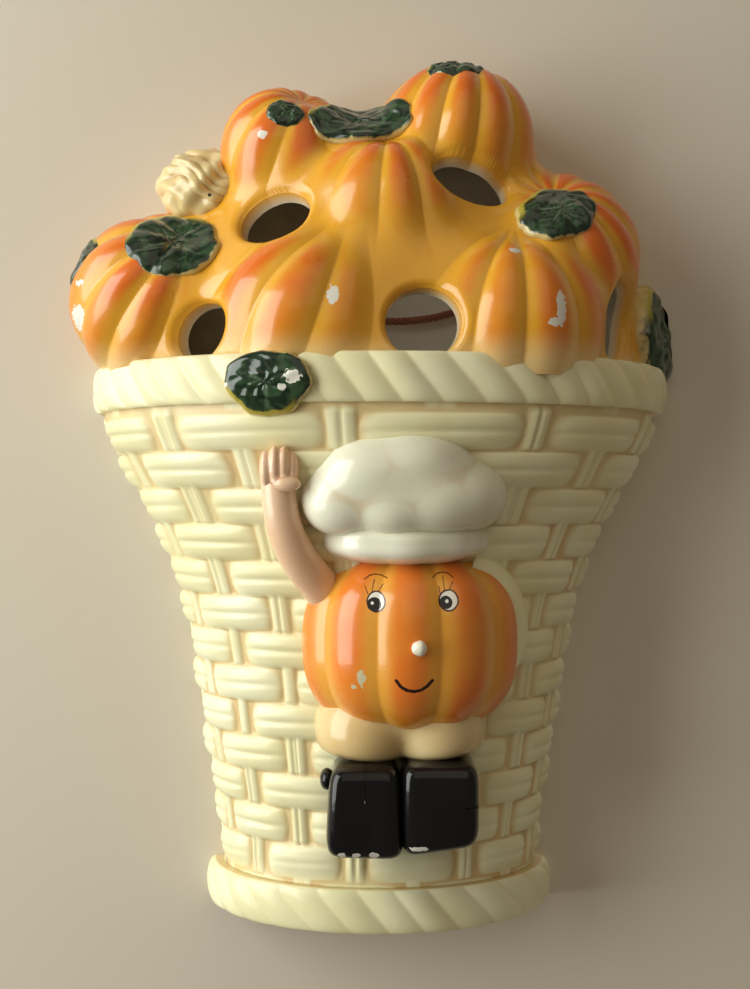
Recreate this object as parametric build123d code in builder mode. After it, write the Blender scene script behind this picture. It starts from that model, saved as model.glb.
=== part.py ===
from build123d import *
from math import pi, radians, sqrt, tan
import os

# Ceramic pumpkin basket for a wall: a half-round woven basket, heaped with pierced pumpkins,
# with a pumpkin cook in relief on its front.
# Millimetres. The wall plane is y = 0, the front faces -Y, and the foot stands on z = 0.

os.makedirs("parts", exist_ok=True)

# Driving dimensions
WALL = 4.5  # thickness of the cast clay
DEPTH_SHARE = 0.70  # depth of the half-ellipse plan, as a share of its half-width
TRAY = 9.0  # the back plate with its lip
RECESS = 5.0  # the hollow behind the back plate, where the cord lies
LIP = 5.0  # width of the lip that meets the wall
FOOT_TOP = 12.0
RIM_BOTTOM, RIM_TOP = 145.0, 156.0
BASE = 4.0  # thickness of the floor of the basket
FOOT_BORE = 41.0  # half-width of the space inside the foot band
RIM_BORE = 73.0  # half-width of the space inside the rim band
SLIP = 1.6  # how far a leaf stands proud of what it lies on

# Half-widths of the basket at its heights, from the foot band to the rim band
BASKET = [(12, 47.4), (40, 49.6), (70, 54.3), (100, 61.6), (124, 73.2), (145, 83.0)]
FOOT = [(0, 49.5), (5, 51.0), (12, 48.6)]
RIM = [(145, 83.4), (150.5, 86.0), (156, 84.0)]

# The heap: a dome that carries the pumpkins, and each pumpkin's centre and radius
DOME_CENTRE, DOME_RADIUS = (0.0, 36.65, 150.0), 91.65
HOLLOW_FROM = 15.0  # a ball of a smaller radius is solid
SMALLEST_GAP = 20.0  # cubic millimetres; slivers of the dome under this are left out
PUMPKINS = {
    "pumpkin_left": ((-62.5, -16, 174.5), 25.5),
    "pumpkin_front_left": ((-19.0, -33, 166.0), 26.0),
    "pumpkin_front_right": ((35.0, -31, 166.0), 26.0),
    "pumpkin_middle": ((2.0, -28, 199.0), 20.5),
    "pumpkin_top_left": ((-26.0, -18, 217.0), 19.0),
    "pumpkin_top_right": ((22.0, -18, 221.0), 22.0),
    "pumpkin_right": ((49.0, -17, 187.0), 25.0),
    "straw_tuft": ((-50.5, -13, 206.0), 12.0),
}

# The pierced holes: centre on the outside, outward direction, half-axes and turn
HOLES = [
    ((-48, -40, 164), (-0.50, -0.86, 0.0), (7.6, 9.6), -30),
    ((-29, -38, 195.8), (-0.25, -0.84, 0.48), (11.3, 7.6), 30),
    ((12, -54, 165.6), (0.0, -1.0, 0.0), (9.6, 8.8), 0),
    ((25.5, -33, 206), (0.15, -0.84, 0.52), (10.6, 6.6), -24),
    ((65, -25.5, 168), (0.78, -0.62, 0.0), (7.2, 10.5), 0),
]
HOLE_REACH = (26.0, 13.0)  # how far a piercing tool reaches outside and inside

# The leaves: the pumpkin each lies on, its direction from that pumpkin, half-axes and turn
LEAVES = {
    "leaf_left": ("pumpkin_left", (0.26, -0.81, 0.52), (12.5, 9.5), -8),
    "leaf_left_edge": ("pumpkin_left", (-0.74, -0.48, 0.47), (4.5, 7.5), 0),
    "leaf_middle": ("pumpkin_top_left", (0.88, -0.42, 0.24), (12.6, 7.2), -6),
    "leaf_small": ("pumpkin_top_left", (0.0, -0.90, 0.42), (5.6, 4.2), 12),
    "leaf_top": ("pumpkin_top_right", (-0.05, -0.76, 0.65), (8.0, 4.2), -10),
    "leaf_right": ("pumpkin_right", (-0.06, -0.93, 0.36), (11.6, 7.8), -16),
}

# The leaf at the right edge stands off the dome and over the rim: its centre, half-axes and turn
EDGE_LEAF = (80.0, 165.5), (7.5, 18.0), 14
EDGE_LEAF_DEPTHS = (11.0, 15.0)

# The hanging cord: it sags between two holes in the back plate
CORD = 2.4  # diameter
CORD_HOLE = 2.0  # radius
CORD_HOLES = [(-30.0, 181.8), (34.0, 179.5)]
KNOT = 3.2  # radius of each stop knot
KNOT_Y = -TRAY - KNOT / 2
CORD_ROUTE = [
    (-30.0, -9.0, 181.8),
    (-30.0, -5.2, 181.8),
    (-28.2, -3.0, 180.8),
    (-23.8, -1.9, 178.6),
    (-16.5, -1.7, 175.3),
    (-7.0, -1.6, 172.5),
    (4.0, -1.6, 171.4),
    (14.5, -1.6, 172.3),
    (22.5, -1.7, 174.3),
    (28.6, -1.9, 176.7),
    (32.4, -3.0, 178.6),
    (34.0, -5.2, 179.5),
    (34.0, -9.0, 179.5),
]
BACK_OPENING = (4.0, 171.5, 25.0, 19.0)  # centre x and z, half-width and half-height

# The leaf over the rim: centre x and z, half-axes, and the outline it lies on
RIM_LEAF = (-28.4, 148.4, 11.5, 9.2)
RIM_LEAF_LEVELS = [(139, 80.5), (145, 83.4), (150.5, 86.0), (158, 83.5)]

# The cook in relief: each centre and radii (across, upright)
HEAD_CENTRE, HEAD_RADII = (8.2, -29.6, 80.8), (29.4, 24.8)
HAT_CENTRE, HAT_RADII = (6.5, -38.0, 122.0), (26.5, 14.5)
BAND_CENTRE, BAND_RADIUS, BAND_HEIGHT = (7.0, -35.0, 107.0), 21.5, 8.5
NOSE_CENTRE, NOSE_RADIUS = (10.0, -59.2, 80.3), 2.4
ARM, FIST = 5.0, 5.8  # radii
RAISED_ARM = [(-12.0, -40.0, 94.0), (-20.0, -44.0, 102.0), (-25.5, -47.0, 112.0), (-26.0, -48.5, 123.0)]
BENT_ARM = [
    (25.0, -38.0, 101.0),
    (32.5, -36.0, 95.5),
    (36.8, -33.5, 85.0),
    (35.0, -34.5, 75.0),
    (29.0, -39.0, 69.0),
]
SHORTS_CENTRE, SHORTS_HALF = (6.0, -31.0), (22.6, 18.5)
SHORTS_LEVELS = (47.0, 64.5)
BOOT_LEVELS = (23.0, 47.0)
BOOT_DEPTH, BOOT_Y = 24.0, -40.0
BOOTS = {"boot_left": (-4.2, 19.6), "boot_right": (16.0, 20.8)}  # centre x and width
TAB_CENTRE, TAB_SIZE = (-15.4, -40.0, 42.0), (2.8, 4.0, 6.0)

FRONT = Plane(origin=(0, -TRAY, 0), x_dir=(1, 0, 0), z_dir=(0, -1, 0))


def half_ellipses(levels, inset=0.0):
    """Half-ellipse sketches at the heights of the levels, to loft through."""
    sketches = []
    for z, half in levels:
        with BuildSketch(Plane.XY.offset(z)) as section:
            with BuildLine():
                EllipticalCenterArc((0, 0), half - inset, DEPTH_SHARE * half - inset, 180, arc_size=180)
                Line((half - inset, 0), (inset - half, 0))
            make_face()
        sketches.append(section.sketch)
    return sketches


def leaf_plane(centre, direction, lift):
    """A plane at a height above a ball's centre, square to the direction and turned upright."""
    out = Vector(*direction).normalized()
    side = out.cross(Vector(0, 0, 1))
    side = side if side.length > 0.3 else Vector(0, -1, 0).cross(out)
    return Plane(origin=Vector(*centre) + out * lift, x_dir=-side, z_dir=out)


def cell_plane(this, other):
    """The plane where two crossing balls meet, facing the second ball."""
    (c1, r1), (c2, r2) = this, other
    step = Vector(*c2) - Vector(*c1)
    along = (step.length**2 + r1**2 - r2**2) / (2 * step.length)
    return Plane(origin=Vector(*c1) + step.normalized() * along, z_dir=step)


def crosses(this, other):
    return (Vector(*this[0]) - Vector(*other[0])).length < this[1] + other[1]


def outline(inset):
    """The outline of the back plate in the wall plane, as a sketch on Plane.XZ."""
    with BuildSketch(Plane.XZ) as sketch:
        for centre, radius in PUMPKINS.values():
            deep = -centre[1] - TRAY
            if deep < radius:
                with Locations((centre[0], centre[2])):
                    Circle(sqrt(radius**2 - deep**2) - inset)
        with Locations((0, DOME_CENTRE[2])):
            Circle(sqrt(DOME_RADIUS**2 - (TRAY + DOME_CENTRE[1]) ** 2) - inset)
        for levels in (FOOT, BASKET, RIM):
            low = levels[0][0] + (inset if levels is FOOT else 0)
            sides = [(half - inset, max(z, low)) for z, half in levels]
            with BuildLine():
                Spline(*sides)
                Spline(*[(-x, z) for x, z in sides])
                Line((-sides[0][0], sides[0][1]), sides[0])
                Line((-sides[-1][0], sides[-1][1]), sides[-1])
            make_face()
    return sketch.sketch


def spheroid(centre, across, tall):
    """A ball with one radius across and another upright, spun about its upright axis."""
    with BuildPart(mode=Mode.PRIVATE) as ball:
        with BuildSketch(Plane.XZ):
            Ellipse(across, tall)
            with Locations((-across, 0)):
                Rectangle(2 * across, 2 * tall, mode=Mode.SUBTRACT)
        revolve(axis=Axis.Z)
    return ball.part.moved(Location(centre))


def finish(piece, name):
    """Labels a piece and writes its file."""
    piece.part.label = name
    export_step(piece.part, f"parts/{name}.step")


# Solids that other pieces are cut by
with BuildPart() as basket_form:
    loft(half_ellipses(BASKET))

with BuildPart() as rim_form:
    loft(half_ellipses(RIM))

with BuildPart() as dome_inside:
    with Locations(DOME_CENTRE):
        Sphere(DOME_RADIUS - WALL)

with BuildPart() as hole_tools:
    for centre, direction, (wide, tall), turn in HOLES:
        outside, inside = HOLE_REACH
        with BuildSketch(leaf_plane(centre, direction, outside)):
            Ellipse(wide, tall, rotation=turn)
        extrude(amount=-(outside + inside))

# The back plate: a tray whose lip lies on the wall, with an opening and two cord holes
with BuildPart() as back_plate:
    extrude(outline(0), amount=TRAY)
    extrude(outline(LIP), amount=RECESS, mode=Mode.SUBTRACT)
    with BuildSketch(Plane.XZ):
        x, z, wide, tall = BACK_OPENING
        with Locations((x, z)):
            Ellipse(wide, tall)
        with Locations(*CORD_HOLES):
            Circle(CORD_HOLE)
    extrude(amount=TRAY, mode=Mode.SUBTRACT)
finish(back_plate, "back_plate")

# The woven wall of the basket, without its weave
with BuildPart() as basket_wall:
    loft(half_ellipses(BASKET))
    loft(half_ellipses(BASKET, WALL), mode=Mode.SUBTRACT)
    split(bisect_by=FRONT, keep=Keep.TOP)
finish(basket_wall, "basket_wall")

# The rope bands round the rim and the foot
with BuildPart() as rope_rim:
    loft(half_ellipses(RIM))
    loft(half_ellipses([(RIM_BOTTOM, RIM_BORE), (RIM_TOP, RIM_BORE)]), mode=Mode.SUBTRACT)
    split(bisect_by=FRONT, keep=Keep.TOP)
finish(rope_rim, "rope_rim")

with BuildPart() as rope_foot:
    loft(half_ellipses(FOOT))
    loft(half_ellipses([(0, FOOT_BORE), (FOOT_TOP, FOOT_BORE)]), mode=Mode.SUBTRACT)
    split(bisect_by=FRONT, keep=Keep.TOP)
finish(rope_foot, "rope_foot")

with BuildPart() as base_plate:
    loft(half_ellipses([(0, FOOT_BORE), (BASE, FOOT_BORE)]))
    split(bisect_by=FRONT, keep=Keep.TOP)
finish(base_plate, "base_plate")

# The dome between the pumpkins: its front, and the smaller areas of it that close the gaps
above_rim = Plane.XY.offset(RIM_TOP)
with BuildPart() as dome_shell:
    with Locations(DOME_CENTRE):
        Sphere(DOME_RADIUS)
        Sphere(DOME_RADIUS - WALL, mode=Mode.SUBTRACT)
    split(bisect_by=FRONT, keep=Keep.TOP)
    split(bisect_by=above_rim, keep=Keep.TOP)
    for centre, radius in PUMPKINS.values():
        with Locations(centre):
            Sphere(radius, mode=Mode.SUBTRACT)
    add(hole_tools.part, mode=Mode.SUBTRACT)

front, *gaps = dome_shell.solids().sort_by(SortBy.VOLUME, reverse=True)
with BuildPart() as heap_dome:
    add(front)
finish(heap_dome, "heap_dome")

with BuildPart() as heap_gaps:
    add([gap for gap in gaps if gap.volume > SMALLEST_GAP])
finish(heap_gaps, "heap_gaps")

# The pumpkins and the tuft of straw: hollow balls that meet on flat cuts
balls = {}
for name, ball in PUMPKINS.items():
    centre, radius = ball
    with BuildPart() as pumpkin:
        with Locations(centre):
            Sphere(radius)
            if radius > HOLLOW_FROM:
                Sphere(radius - WALL, mode=Mode.SUBTRACT)
        split(bisect_by=FRONT, keep=Keep.TOP)
        if centre[2] - radius < RIM_TOP:
            split(bisect_by=above_rim, keep=Keep.TOP)
        for other_name, other in PUMPKINS.items():
            if other_name != name and crosses(ball, other):
                split(bisect_by=cell_plane(ball, other), keep=Keep.BOTTOM)
        add(dome_inside.part, mode=Mode.SUBTRACT)
        add(hole_tools.part, mode=Mode.SUBTRACT)
    balls[name] = pumpkin
    finish(pumpkin, name)

# The leaves on the pumpkins
for name, (on, direction, (wide, tall), turn) in LEAVES.items():
    centre, radius = PUMPKINS[on]
    with BuildPart() as leaf:
        with BuildSketch(leaf_plane(centre, direction, 0.3 * radius)):
            Ellipse(wide, tall, rotation=turn)
        extrude(amount=radius)
        with Locations(centre):
            Sphere(radius + SLIP, mode=Mode.INTERSECT)
        for other_centre, other_radius in PUMPKINS.values():
            with Locations(other_centre):
                Sphere(other_radius, mode=Mode.SUBTRACT)
        add(rim_form.part, mode=Mode.SUBTRACT)
        with Locations(DOME_CENTRE):
            Sphere(DOME_RADIUS, mode=Mode.SUBTRACT)
        add(back_plate.part, mode=Mode.SUBTRACT)
        add(hole_tools.part, mode=Mode.SUBTRACT)
    finish(leaf, name)

# The leaf at the right edge
with BuildPart() as leaf_right_edge:
    with BuildSketch(Plane.XZ.offset(EDGE_LEAF_DEPTHS[0])):
        with Locations(EDGE_LEAF[0]):
            Ellipse(*EDGE_LEAF[1], rotation=EDGE_LEAF[2])
    extrude(amount=EDGE_LEAF_DEPTHS[1] - EDGE_LEAF_DEPTHS[0])
    add(rim_form.part, mode=Mode.SUBTRACT)
    with Locations(DOME_CENTRE):
        Sphere(DOME_RADIUS, mode=Mode.SUBTRACT)
    with Locations(PUMPKINS["pumpkin_right"][0]):
        Sphere(PUMPKINS["pumpkin_right"][1], mode=Mode.SUBTRACT)
finish(leaf_right_edge, "leaf_right_edge")

# The leaf that hangs over the rim
past_front = 2 * HAT_RADII[0] + TRAY + DOME_CENTRE[1]
with BuildPart() as leaf_rim:
    loft(half_ellipses([(z, half + SLIP) for z, half in RIM_LEAF_LEVELS]))
    with BuildSketch(Plane.XZ):
        x, z, wide, tall = RIM_LEAF
        with Locations((x, z)):
            Ellipse(wide, tall)
    extrude(amount=past_front, mode=Mode.INTERSECT)
    split(bisect_by=FRONT.offset(DOME_CENTRE[1]), keep=Keep.TOP)
    add(rim_form.part, mode=Mode.SUBTRACT)
    add(basket_form.part, mode=Mode.SUBTRACT)
    for name in ("pumpkin_left", "pumpkin_front_left"):
        with Locations(PUMPKINS[name][0]):
            Sphere(PUMPKINS[name][1], mode=Mode.SUBTRACT)
    with Locations(DOME_CENTRE):
        Sphere(DOME_RADIUS, mode=Mode.SUBTRACT)
finish(leaf_rim, "leaf_rim")

# The cook's head, its nose, and the hat of a crown over a band
with BuildPart() as chef_head:
    add(spheroid(HEAD_CENTRE, *HEAD_RADII))
    add(basket_form.part, mode=Mode.SUBTRACT)
finish(chef_head, "chef_head")

with BuildPart() as chef_nose:
    with Locations(NOSE_CENTRE):
        Sphere(NOSE_RADIUS)
    add(chef_head.part, mode=Mode.SUBTRACT)
finish(chef_nose, "chef_nose")

with BuildPart() as hat_crown:
    add(spheroid(HAT_CENTRE, *HAT_RADII))
    for other in (basket_form, rim_form, chef_head):
        add(other.part, mode=Mode.SUBTRACT)
finish(hat_crown, "hat_crown")

with BuildPart() as hat_band:
    with Locations(BAND_CENTRE):
        Cylinder(BAND_RADIUS, BAND_HEIGHT)
    fillet(hat_band.edges().filter_by(GeomType.CIRCLE), BAND_HEIGHT / 3)
    for other in (basket_form, chef_head, hat_crown):
        add(other.part, mode=Mode.SUBTRACT)
finish(hat_band, "hat_band")

# The arms: round rods bent along their routes, the raised one with a fist
with BuildPart() as raised_arm:
    with BuildLine() as arm_line:
        FilletPolyline(*RAISED_ARM, radius=ARM)
    with BuildSketch(Plane(origin=arm_line.line @ 0, z_dir=arm_line.line % 0)):
        Circle(ARM)
    sweep()
    with Locations(RAISED_ARM[-1]):
        Sphere(FIST)
    for other in (basket_form, chef_head, hat_crown, hat_band):
        add(other.part, mode=Mode.SUBTRACT)
finish(raised_arm, "raised_arm")

with BuildPart() as bent_arm:
    with BuildLine() as arm_line:
        FilletPolyline(*BENT_ARM, radius=ARM)
    with BuildSketch(Plane(origin=arm_line.line @ 0, z_dir=arm_line.line % 0)):
        Circle(ARM)
    sweep()
    with Locations(BENT_ARM[-1]):
        Sphere(ARM)
    for other in (basket_form, chef_head, hat_band):
        add(other.part, mode=Mode.SUBTRACT)
finish(bent_arm, "bent_arm")

# The shorts, the two boots and the tab on the left boot
with BuildPart() as shorts:
    with BuildSketch(Plane.XY.offset(SHORTS_LEVELS[0])):
        with Locations(SHORTS_CENTRE):
            Ellipse(*SHORTS_HALF)
    extrude(amount=SHORTS_LEVELS[1] - SHORTS_LEVELS[0])
    for other in (basket_form, chef_head, bent_arm):
        add(other.part, mode=Mode.SUBTRACT)
finish(shorts, "shorts")

for name, (middle, width) in BOOTS.items():
    with BuildPart() as boot:
        with BuildSketch(Plane.XY.offset(BOOT_LEVELS[0])):
            with Locations((middle, BOOT_Y)):
                RectangleRounded(width, BOOT_DEPTH, BOOT_DEPTH / 4)
        extrude(amount=BOOT_LEVELS[1] - BOOT_LEVELS[0])
        fillet(boot.faces().sort_by(Axis.Z)[0].edges(), BOOT_DEPTH / 12)
        add(basket_form.part, mode=Mode.SUBTRACT)
    finish(boot, name)

with BuildPart() as boot_tab:
    with Locations(TAB_CENTRE):
        Box(*TAB_SIZE)
finish(boot_tab, "boot_tab")

# The hanging cord, with a stop knot at each end inside the back plate
points = [Vector(*p) for p in CORD_ROUTE]
runs = [(b - a).length for a, b in zip(points, points[1:])]
radii = []
for before, after, a, b in zip(runs, runs[1:], range(len(points) - 2), range(1, len(points) - 1)):
    half_turn = radians((points[b] - points[a]).get_angle(points[b + 1] - points[b])) / 2
    radii.append(0.45 * min(before, after) / tan(half_turn))
print("cord runs", [round(run, 1) for run in runs], "radii", [round(r, 1) for r in radii])

with BuildPart() as hanging_cord:
    with BuildLine() as cord_line:
        FilletPolyline(*CORD_ROUTE, radius=radii)
    with BuildSketch(Plane(origin=cord_line.line @ 0, z_dir=cord_line.line % 0)):
        Circle(CORD / 2)
    sweep()
long = sum(edge.length for edge in cord_line.edges())
print("cord length", round(long, 2), "volume share", hanging_cord.part.volume / (pi * CORD**2 / 4 * long))
finish(hanging_cord, "hanging_cord")

for name, (x, z) in zip(("cord_knot_left", "cord_knot_right"), CORD_HOLES):
    with BuildPart() as knot:
        with Locations((x, KNOT_Y, z)):
            Sphere(KNOT)
        split(bisect_by=FRONT, keep=Keep.TOP)
    finish(knot, name)
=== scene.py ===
import math

import bpy
import numpy as np
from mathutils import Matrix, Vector


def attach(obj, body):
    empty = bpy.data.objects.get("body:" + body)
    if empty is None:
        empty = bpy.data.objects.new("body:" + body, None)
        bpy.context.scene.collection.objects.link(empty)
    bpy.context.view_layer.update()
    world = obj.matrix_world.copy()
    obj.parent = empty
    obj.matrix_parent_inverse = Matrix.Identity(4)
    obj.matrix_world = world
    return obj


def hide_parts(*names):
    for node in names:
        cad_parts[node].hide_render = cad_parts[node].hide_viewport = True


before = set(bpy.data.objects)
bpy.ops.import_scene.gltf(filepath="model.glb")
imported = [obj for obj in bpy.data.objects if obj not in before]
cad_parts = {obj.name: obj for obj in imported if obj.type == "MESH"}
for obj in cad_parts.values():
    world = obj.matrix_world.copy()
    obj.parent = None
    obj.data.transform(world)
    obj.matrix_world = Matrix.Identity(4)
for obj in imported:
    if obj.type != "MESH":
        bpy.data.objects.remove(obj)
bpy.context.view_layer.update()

# The pale surface behind the basket, a large window at the left, and the camera, which is level
# with the basket's middle and close to it. Shapes are worked out in millimetres throughout.
MM = 0.001
EYE = (-1.2, -375.0, 120.0)
HALF_VIEW = 0.3956  # tangent of half the upright angle of view
SENSOR = 36.0


def node(tree, kind, inputs=(), **settings):
    """Adds a shader node; inputs maps socket names or numbers to values or to other sockets."""
    made = tree.nodes.new(kind)
    for name, value in settings.items():
        setattr(made, name, value)
    for name, value in dict(inputs).items():
        socket = made.inputs[name]
        if isinstance(value, bpy.types.NodeSocket):
            tree.links.new(value, socket)
        else:
            socket.default_value = value
    return made


def new_material(name):
    """An empty node material, and its tree."""
    made = bpy.data.materials.new(name)
    made.use_nodes = True
    made.node_tree.nodes.clear()
    return made, made.node_tree


def light(name, place, aim, size, power, colour):
    """A soft rectangular light at a place, facing its aim; metres and watts."""
    data = bpy.data.lights.new(name, "AREA")
    data.shape, data.size, data.size_y = "RECTANGLE", *size
    data.energy, data.color = power, colour
    made = bpy.data.objects.new(name, data)
    made.location = place
    made.rotation_euler = (Vector(aim) - Vector(place)).to_track_quat("-Z", "Y").to_euler()
    bpy.context.collection.objects.link(made)


light("window", (-0.70, -0.33, 0.29), (0.0, -0.02, 0.13), (0.62, 0.86), 9.0, (0.98, 1.0, 0.95))
light("ceiling_bounce", (0.1, -0.9, 0.9), (0.0, 0.0, 0.12), (1.2, 1.2), 2.2, (1.0, 0.88, 0.70))
light("room_behind", (0.3, 1.3, 0.16), (0.0, 0.0, 0.13), (1.2, 1.2), 7.0, (1.0, 0.95, 0.88))

world = bpy.data.worlds.new("room")
bpy.context.scene.world = world
world.use_nodes = True
world.node_tree.nodes["Background"].inputs["Color"].default_value = (0.95, 0.80, 0.62, 1)
world.node_tree.nodes["Background"].inputs["Strength"].default_value = 0.17
bpy.context.scene.view_settings.view_transform = "Standard"

# The pale wall is clear from behind, so that the back can be seen, and clear to the light of the
# lamp behind it, so that the back is lit.
backdrop_paint, tree = new_material("pale_wall")
grain = node(tree, "ShaderNodeTexNoise", {"Scale": 900.0, "Detail": 2.0})
bump = node(tree, "ShaderNodeBump", {"Strength": 0.08, "Distance": 0.0003, "Height": grain.outputs["Fac"]})
wall_shader = node(tree, "ShaderNodeBsdfPrincipled",
                   {"Base Color": (0.66, 0.60, 0.50, 1), "Roughness": 0.75, "Normal": bump.outputs["Normal"]})
clear = node(tree, "ShaderNodeBsdfTransparent")
facing = node(tree, "ShaderNodeNewGeometry")
ray = node(tree, "ShaderNodeLightPath")
open_to = node(tree, "ShaderNodeMath",
               {0: facing.outputs["Backfacing"], 1: ray.outputs["Is Shadow Ray"]}, operation="MAXIMUM")
both = node(tree, "ShaderNodeMixShader", {0: open_to.outputs[0], 1: wall_shader.outputs[0],
                                          2: clear.outputs[0]})
node(tree, "ShaderNodeOutputMaterial", {"Surface": both.outputs[0]})
WALL_REACH, WALL_SET_BACK = 1.6, 0.0006
mesh = bpy.data.meshes.new("pale_wall")
wall_corners = ((-1, -1), (1, -1), (1, 1), (-1, 1))
mesh.from_pydata([(x * WALL_REACH, WALL_SET_BACK, z * WALL_REACH) for x, z in wall_corners], [],
                 [(0, 1, 2, 3)])
mesh.materials.append(backdrop_paint)
backdrop = bpy.data.objects.new("pale_wall", mesh)
bpy.context.collection.objects.link(backdrop)

camera = bpy.data.objects.new("camera", bpy.data.cameras.new("camera"))
camera.data.lens = SENSOR / 2 / HALF_VIEW
camera.data.sensor_width = SENSOR
camera.data.clip_start = 0.01
camera.location = Vector(EYE) * MM
camera.rotation_euler = (math.pi / 2, 0, 0)
bpy.context.collection.objects.link(camera)
bpy.context.scene.camera = camera

# The hanging cord: three strands of brown twine laid together, slack between two holes punched in
# the back, with a stop knot tied inside at each end.
CORD = 2.4
CORD_ROUTE = [
    (-30.0, -9.0, 181.8), (-30.0, -5.2, 181.8), (-28.2, -3.0, 180.8), (-23.8, -1.9, 178.6),
    (-16.5, -1.7, 175.3), (-7.0, -1.6, 172.5), (4.0, -1.6, 171.4), (14.5, -1.6, 172.3),
    (22.5, -1.7, 174.3), (28.6, -1.9, 176.7), (32.4, -3.0, 178.6), (34.0, -5.2, 179.5),
    (34.0, -9.0, 179.5),
]
STRANDS, STRAND, TWIST = 3, 0.62, 5.2  # number, radius of one, and length of a full turn


def grid_faces(rows, columns, closed=False):
    """Quads between neighbouring points of a grid, numbered row by row; closed joins its sides."""
    r, c = np.meshgrid(np.arange(rows - 1), np.arange(columns - (not closed)), indexing="ij")
    far = (c + 1) % columns
    quads = [r * columns + c, r * columns + far, (r + 1) * columns + far, (r + 1) * columns + c]
    return np.stack(quads, axis=-1).reshape(-1, 4)


def add_piece(name, shape, material, nodes=(), values=None, corner_normals=None):
    """Makes a piece from (points in millimetres, list of face arrays), turned to face outwards.

    The signed volume is the sum of a . (b x c) / 6 over its triangles; if it is negative, every
    face is turned round. Values are numbers at the points that the material reads by name.
    """
    points, faces = shape
    faces = [np.asarray(group, np.int64) for group in faces if len(group)]
    fans = np.concatenate([np.stack([np.repeat(g[:, :1], g.shape[1] - 2, 1), g[:, 1:-1], g[:, 2:]], -1)
                          .reshape(-1, 3) for g in faces])
    a, b, c = (points[fans[:, k]] for k in range(3))
    if np.einsum("ij,ij->", a, np.cross(b, c)) < 0:
        faces = [g[:, ::-1] for g in faces]
    sizes = np.concatenate([np.full(len(g), g.shape[1]) for g in faces])
    corners = np.concatenate([g.ravel() for g in faces])
    made = bpy.data.meshes.new(name)
    made.vertices.add(len(points))
    made.vertices.foreach_set("co", (np.asarray(points) * MM).astype(np.float32).ravel())
    made.loops.add(len(corners))
    made.loops.foreach_set("vertex_index", corners.astype(np.int32))
    made.polygons.add(len(sizes))
    made.polygons.foreach_set("loop_start", np.concatenate([[0], np.cumsum(sizes)[:-1]]).astype(np.int32))
    made.polygons.foreach_set("use_smooth", np.ones(len(sizes), bool))
    made.update(calc_edges=True)
    for title, value in (values or {}).items():
        layer = made.attributes.new(title, "FLOAT", "POINT")
        layer.data.foreach_set("value", np.asarray(value, np.float32).ravel())
    made.materials.append(material)
    if corner_normals is not None:
        made.normals_split_custom_set(corner_normals(faces, corners))
    piece = bpy.data.objects.new(name, made)
    bpy.context.collection.objects.link(piece)
    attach(piece, "root")
    if nodes:
        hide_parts(*nodes)
    return piece


def tube(path, radii, around=16, flat=1.0):
    """A tube: an ellipse of the given radii across and upright at each point, with closed ends."""
    along = np.gradient(path, axis=0)
    along /= np.linalg.norm(along, axis=1, keepdims=True)
    side = np.cross(along, [0.02, 1.0, 0.03])
    side /= np.linalg.norm(side, axis=1, keepdims=True)
    up = np.cross(along, side)
    turn = np.linspace(0, 2 * math.pi, around, endpoint=False)[None, :, None]
    radii = np.broadcast_to(radii, len(path))[:, None, None]
    rings = path[:, None] + radii * (side[:, None] * np.cos(turn) + flat * up[:, None] * np.sin(turn))
    points = np.concatenate([rings.reshape(-1, 3), path[:1], path[-1:]])
    count, spin = len(path) * around, np.arange(around)
    first = np.stack([np.full(around, count), (spin + 1) % around, spin], -1)
    last = np.stack([np.full(around, count + 1), spin, (spin + 1) % around], -1)
    last[:, 1:] += count - around
    return points, [grid_faces(len(path), around, True), first, last]


def joined(shapes):
    """Several (points, faces) shapes as one, with their faces renumbered."""
    starts = np.cumsum([0] + [len(points) for points, _ in shapes])
    return (np.concatenate([points for points, _ in shapes]),
            [np.asarray(g) + start for (_, faces), start in zip(shapes, starts) for g in faces])


def smooth_path(corners, count):
    """An even path on a third-order NURBS spline whose control points are the corners."""
    curve = bpy.data.curves.new("route", "CURVE")
    curve.dimensions = "3D"
    spline = curve.splines.new("NURBS")
    spline.points.add(len(corners) - 1)
    for point, place in zip(spline.points, corners):
        point.co = (*place, 1.0)
    spline.order_u = 3
    spline.use_endpoint_u = True
    spline.resolution_u = 24
    route = bpy.data.objects.new("route", curve)
    line_mesh = bpy.data.meshes.new_from_object(route)
    line = np.array([vertex.co for vertex in line_mesh.vertices], float)
    bpy.data.objects.remove(route)
    bpy.data.meshes.remove(line_mesh)
    steps = np.concatenate([[0], np.cumsum(np.linalg.norm(np.diff(line, axis=0), axis=1))])
    even = np.linspace(0, steps[-1], count)
    return np.stack([np.interp(even, steps, line[:, k]) for k in range(3)], axis=1), even


twine, tree = new_material("brown_twine")
where = node(tree, "ShaderNodeTexCoord")
fibre = node(tree, "ShaderNodeTexNoise", {"Vector": where.outputs["Object"], "Scale": 2600.0, "Detail": 3.0})
shade = node(tree, "ShaderNodeValToRGB", {"Fac": fibre.outputs["Fac"]})
shade.color_ramp.elements[0].color = (0.13, 0.030, 0.010, 1)
shade.color_ramp.elements[1].color = (0.42, 0.13, 0.05, 1)
fuzz = node(tree, "ShaderNodeBump", {"Strength": 0.5, "Distance": 0.0002, "Height": fibre.outputs["Fac"]})
skin = node(tree, "ShaderNodeBsdfPrincipled", {"Base Color": shade.outputs["Color"], "Roughness": 0.75,
                                               "Sheen Weight": 0.3, "Normal": fuzz.outputs["Normal"]})
node(tree, "ShaderNodeOutputMaterial", {"Surface": skin.outputs[0]})

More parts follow.
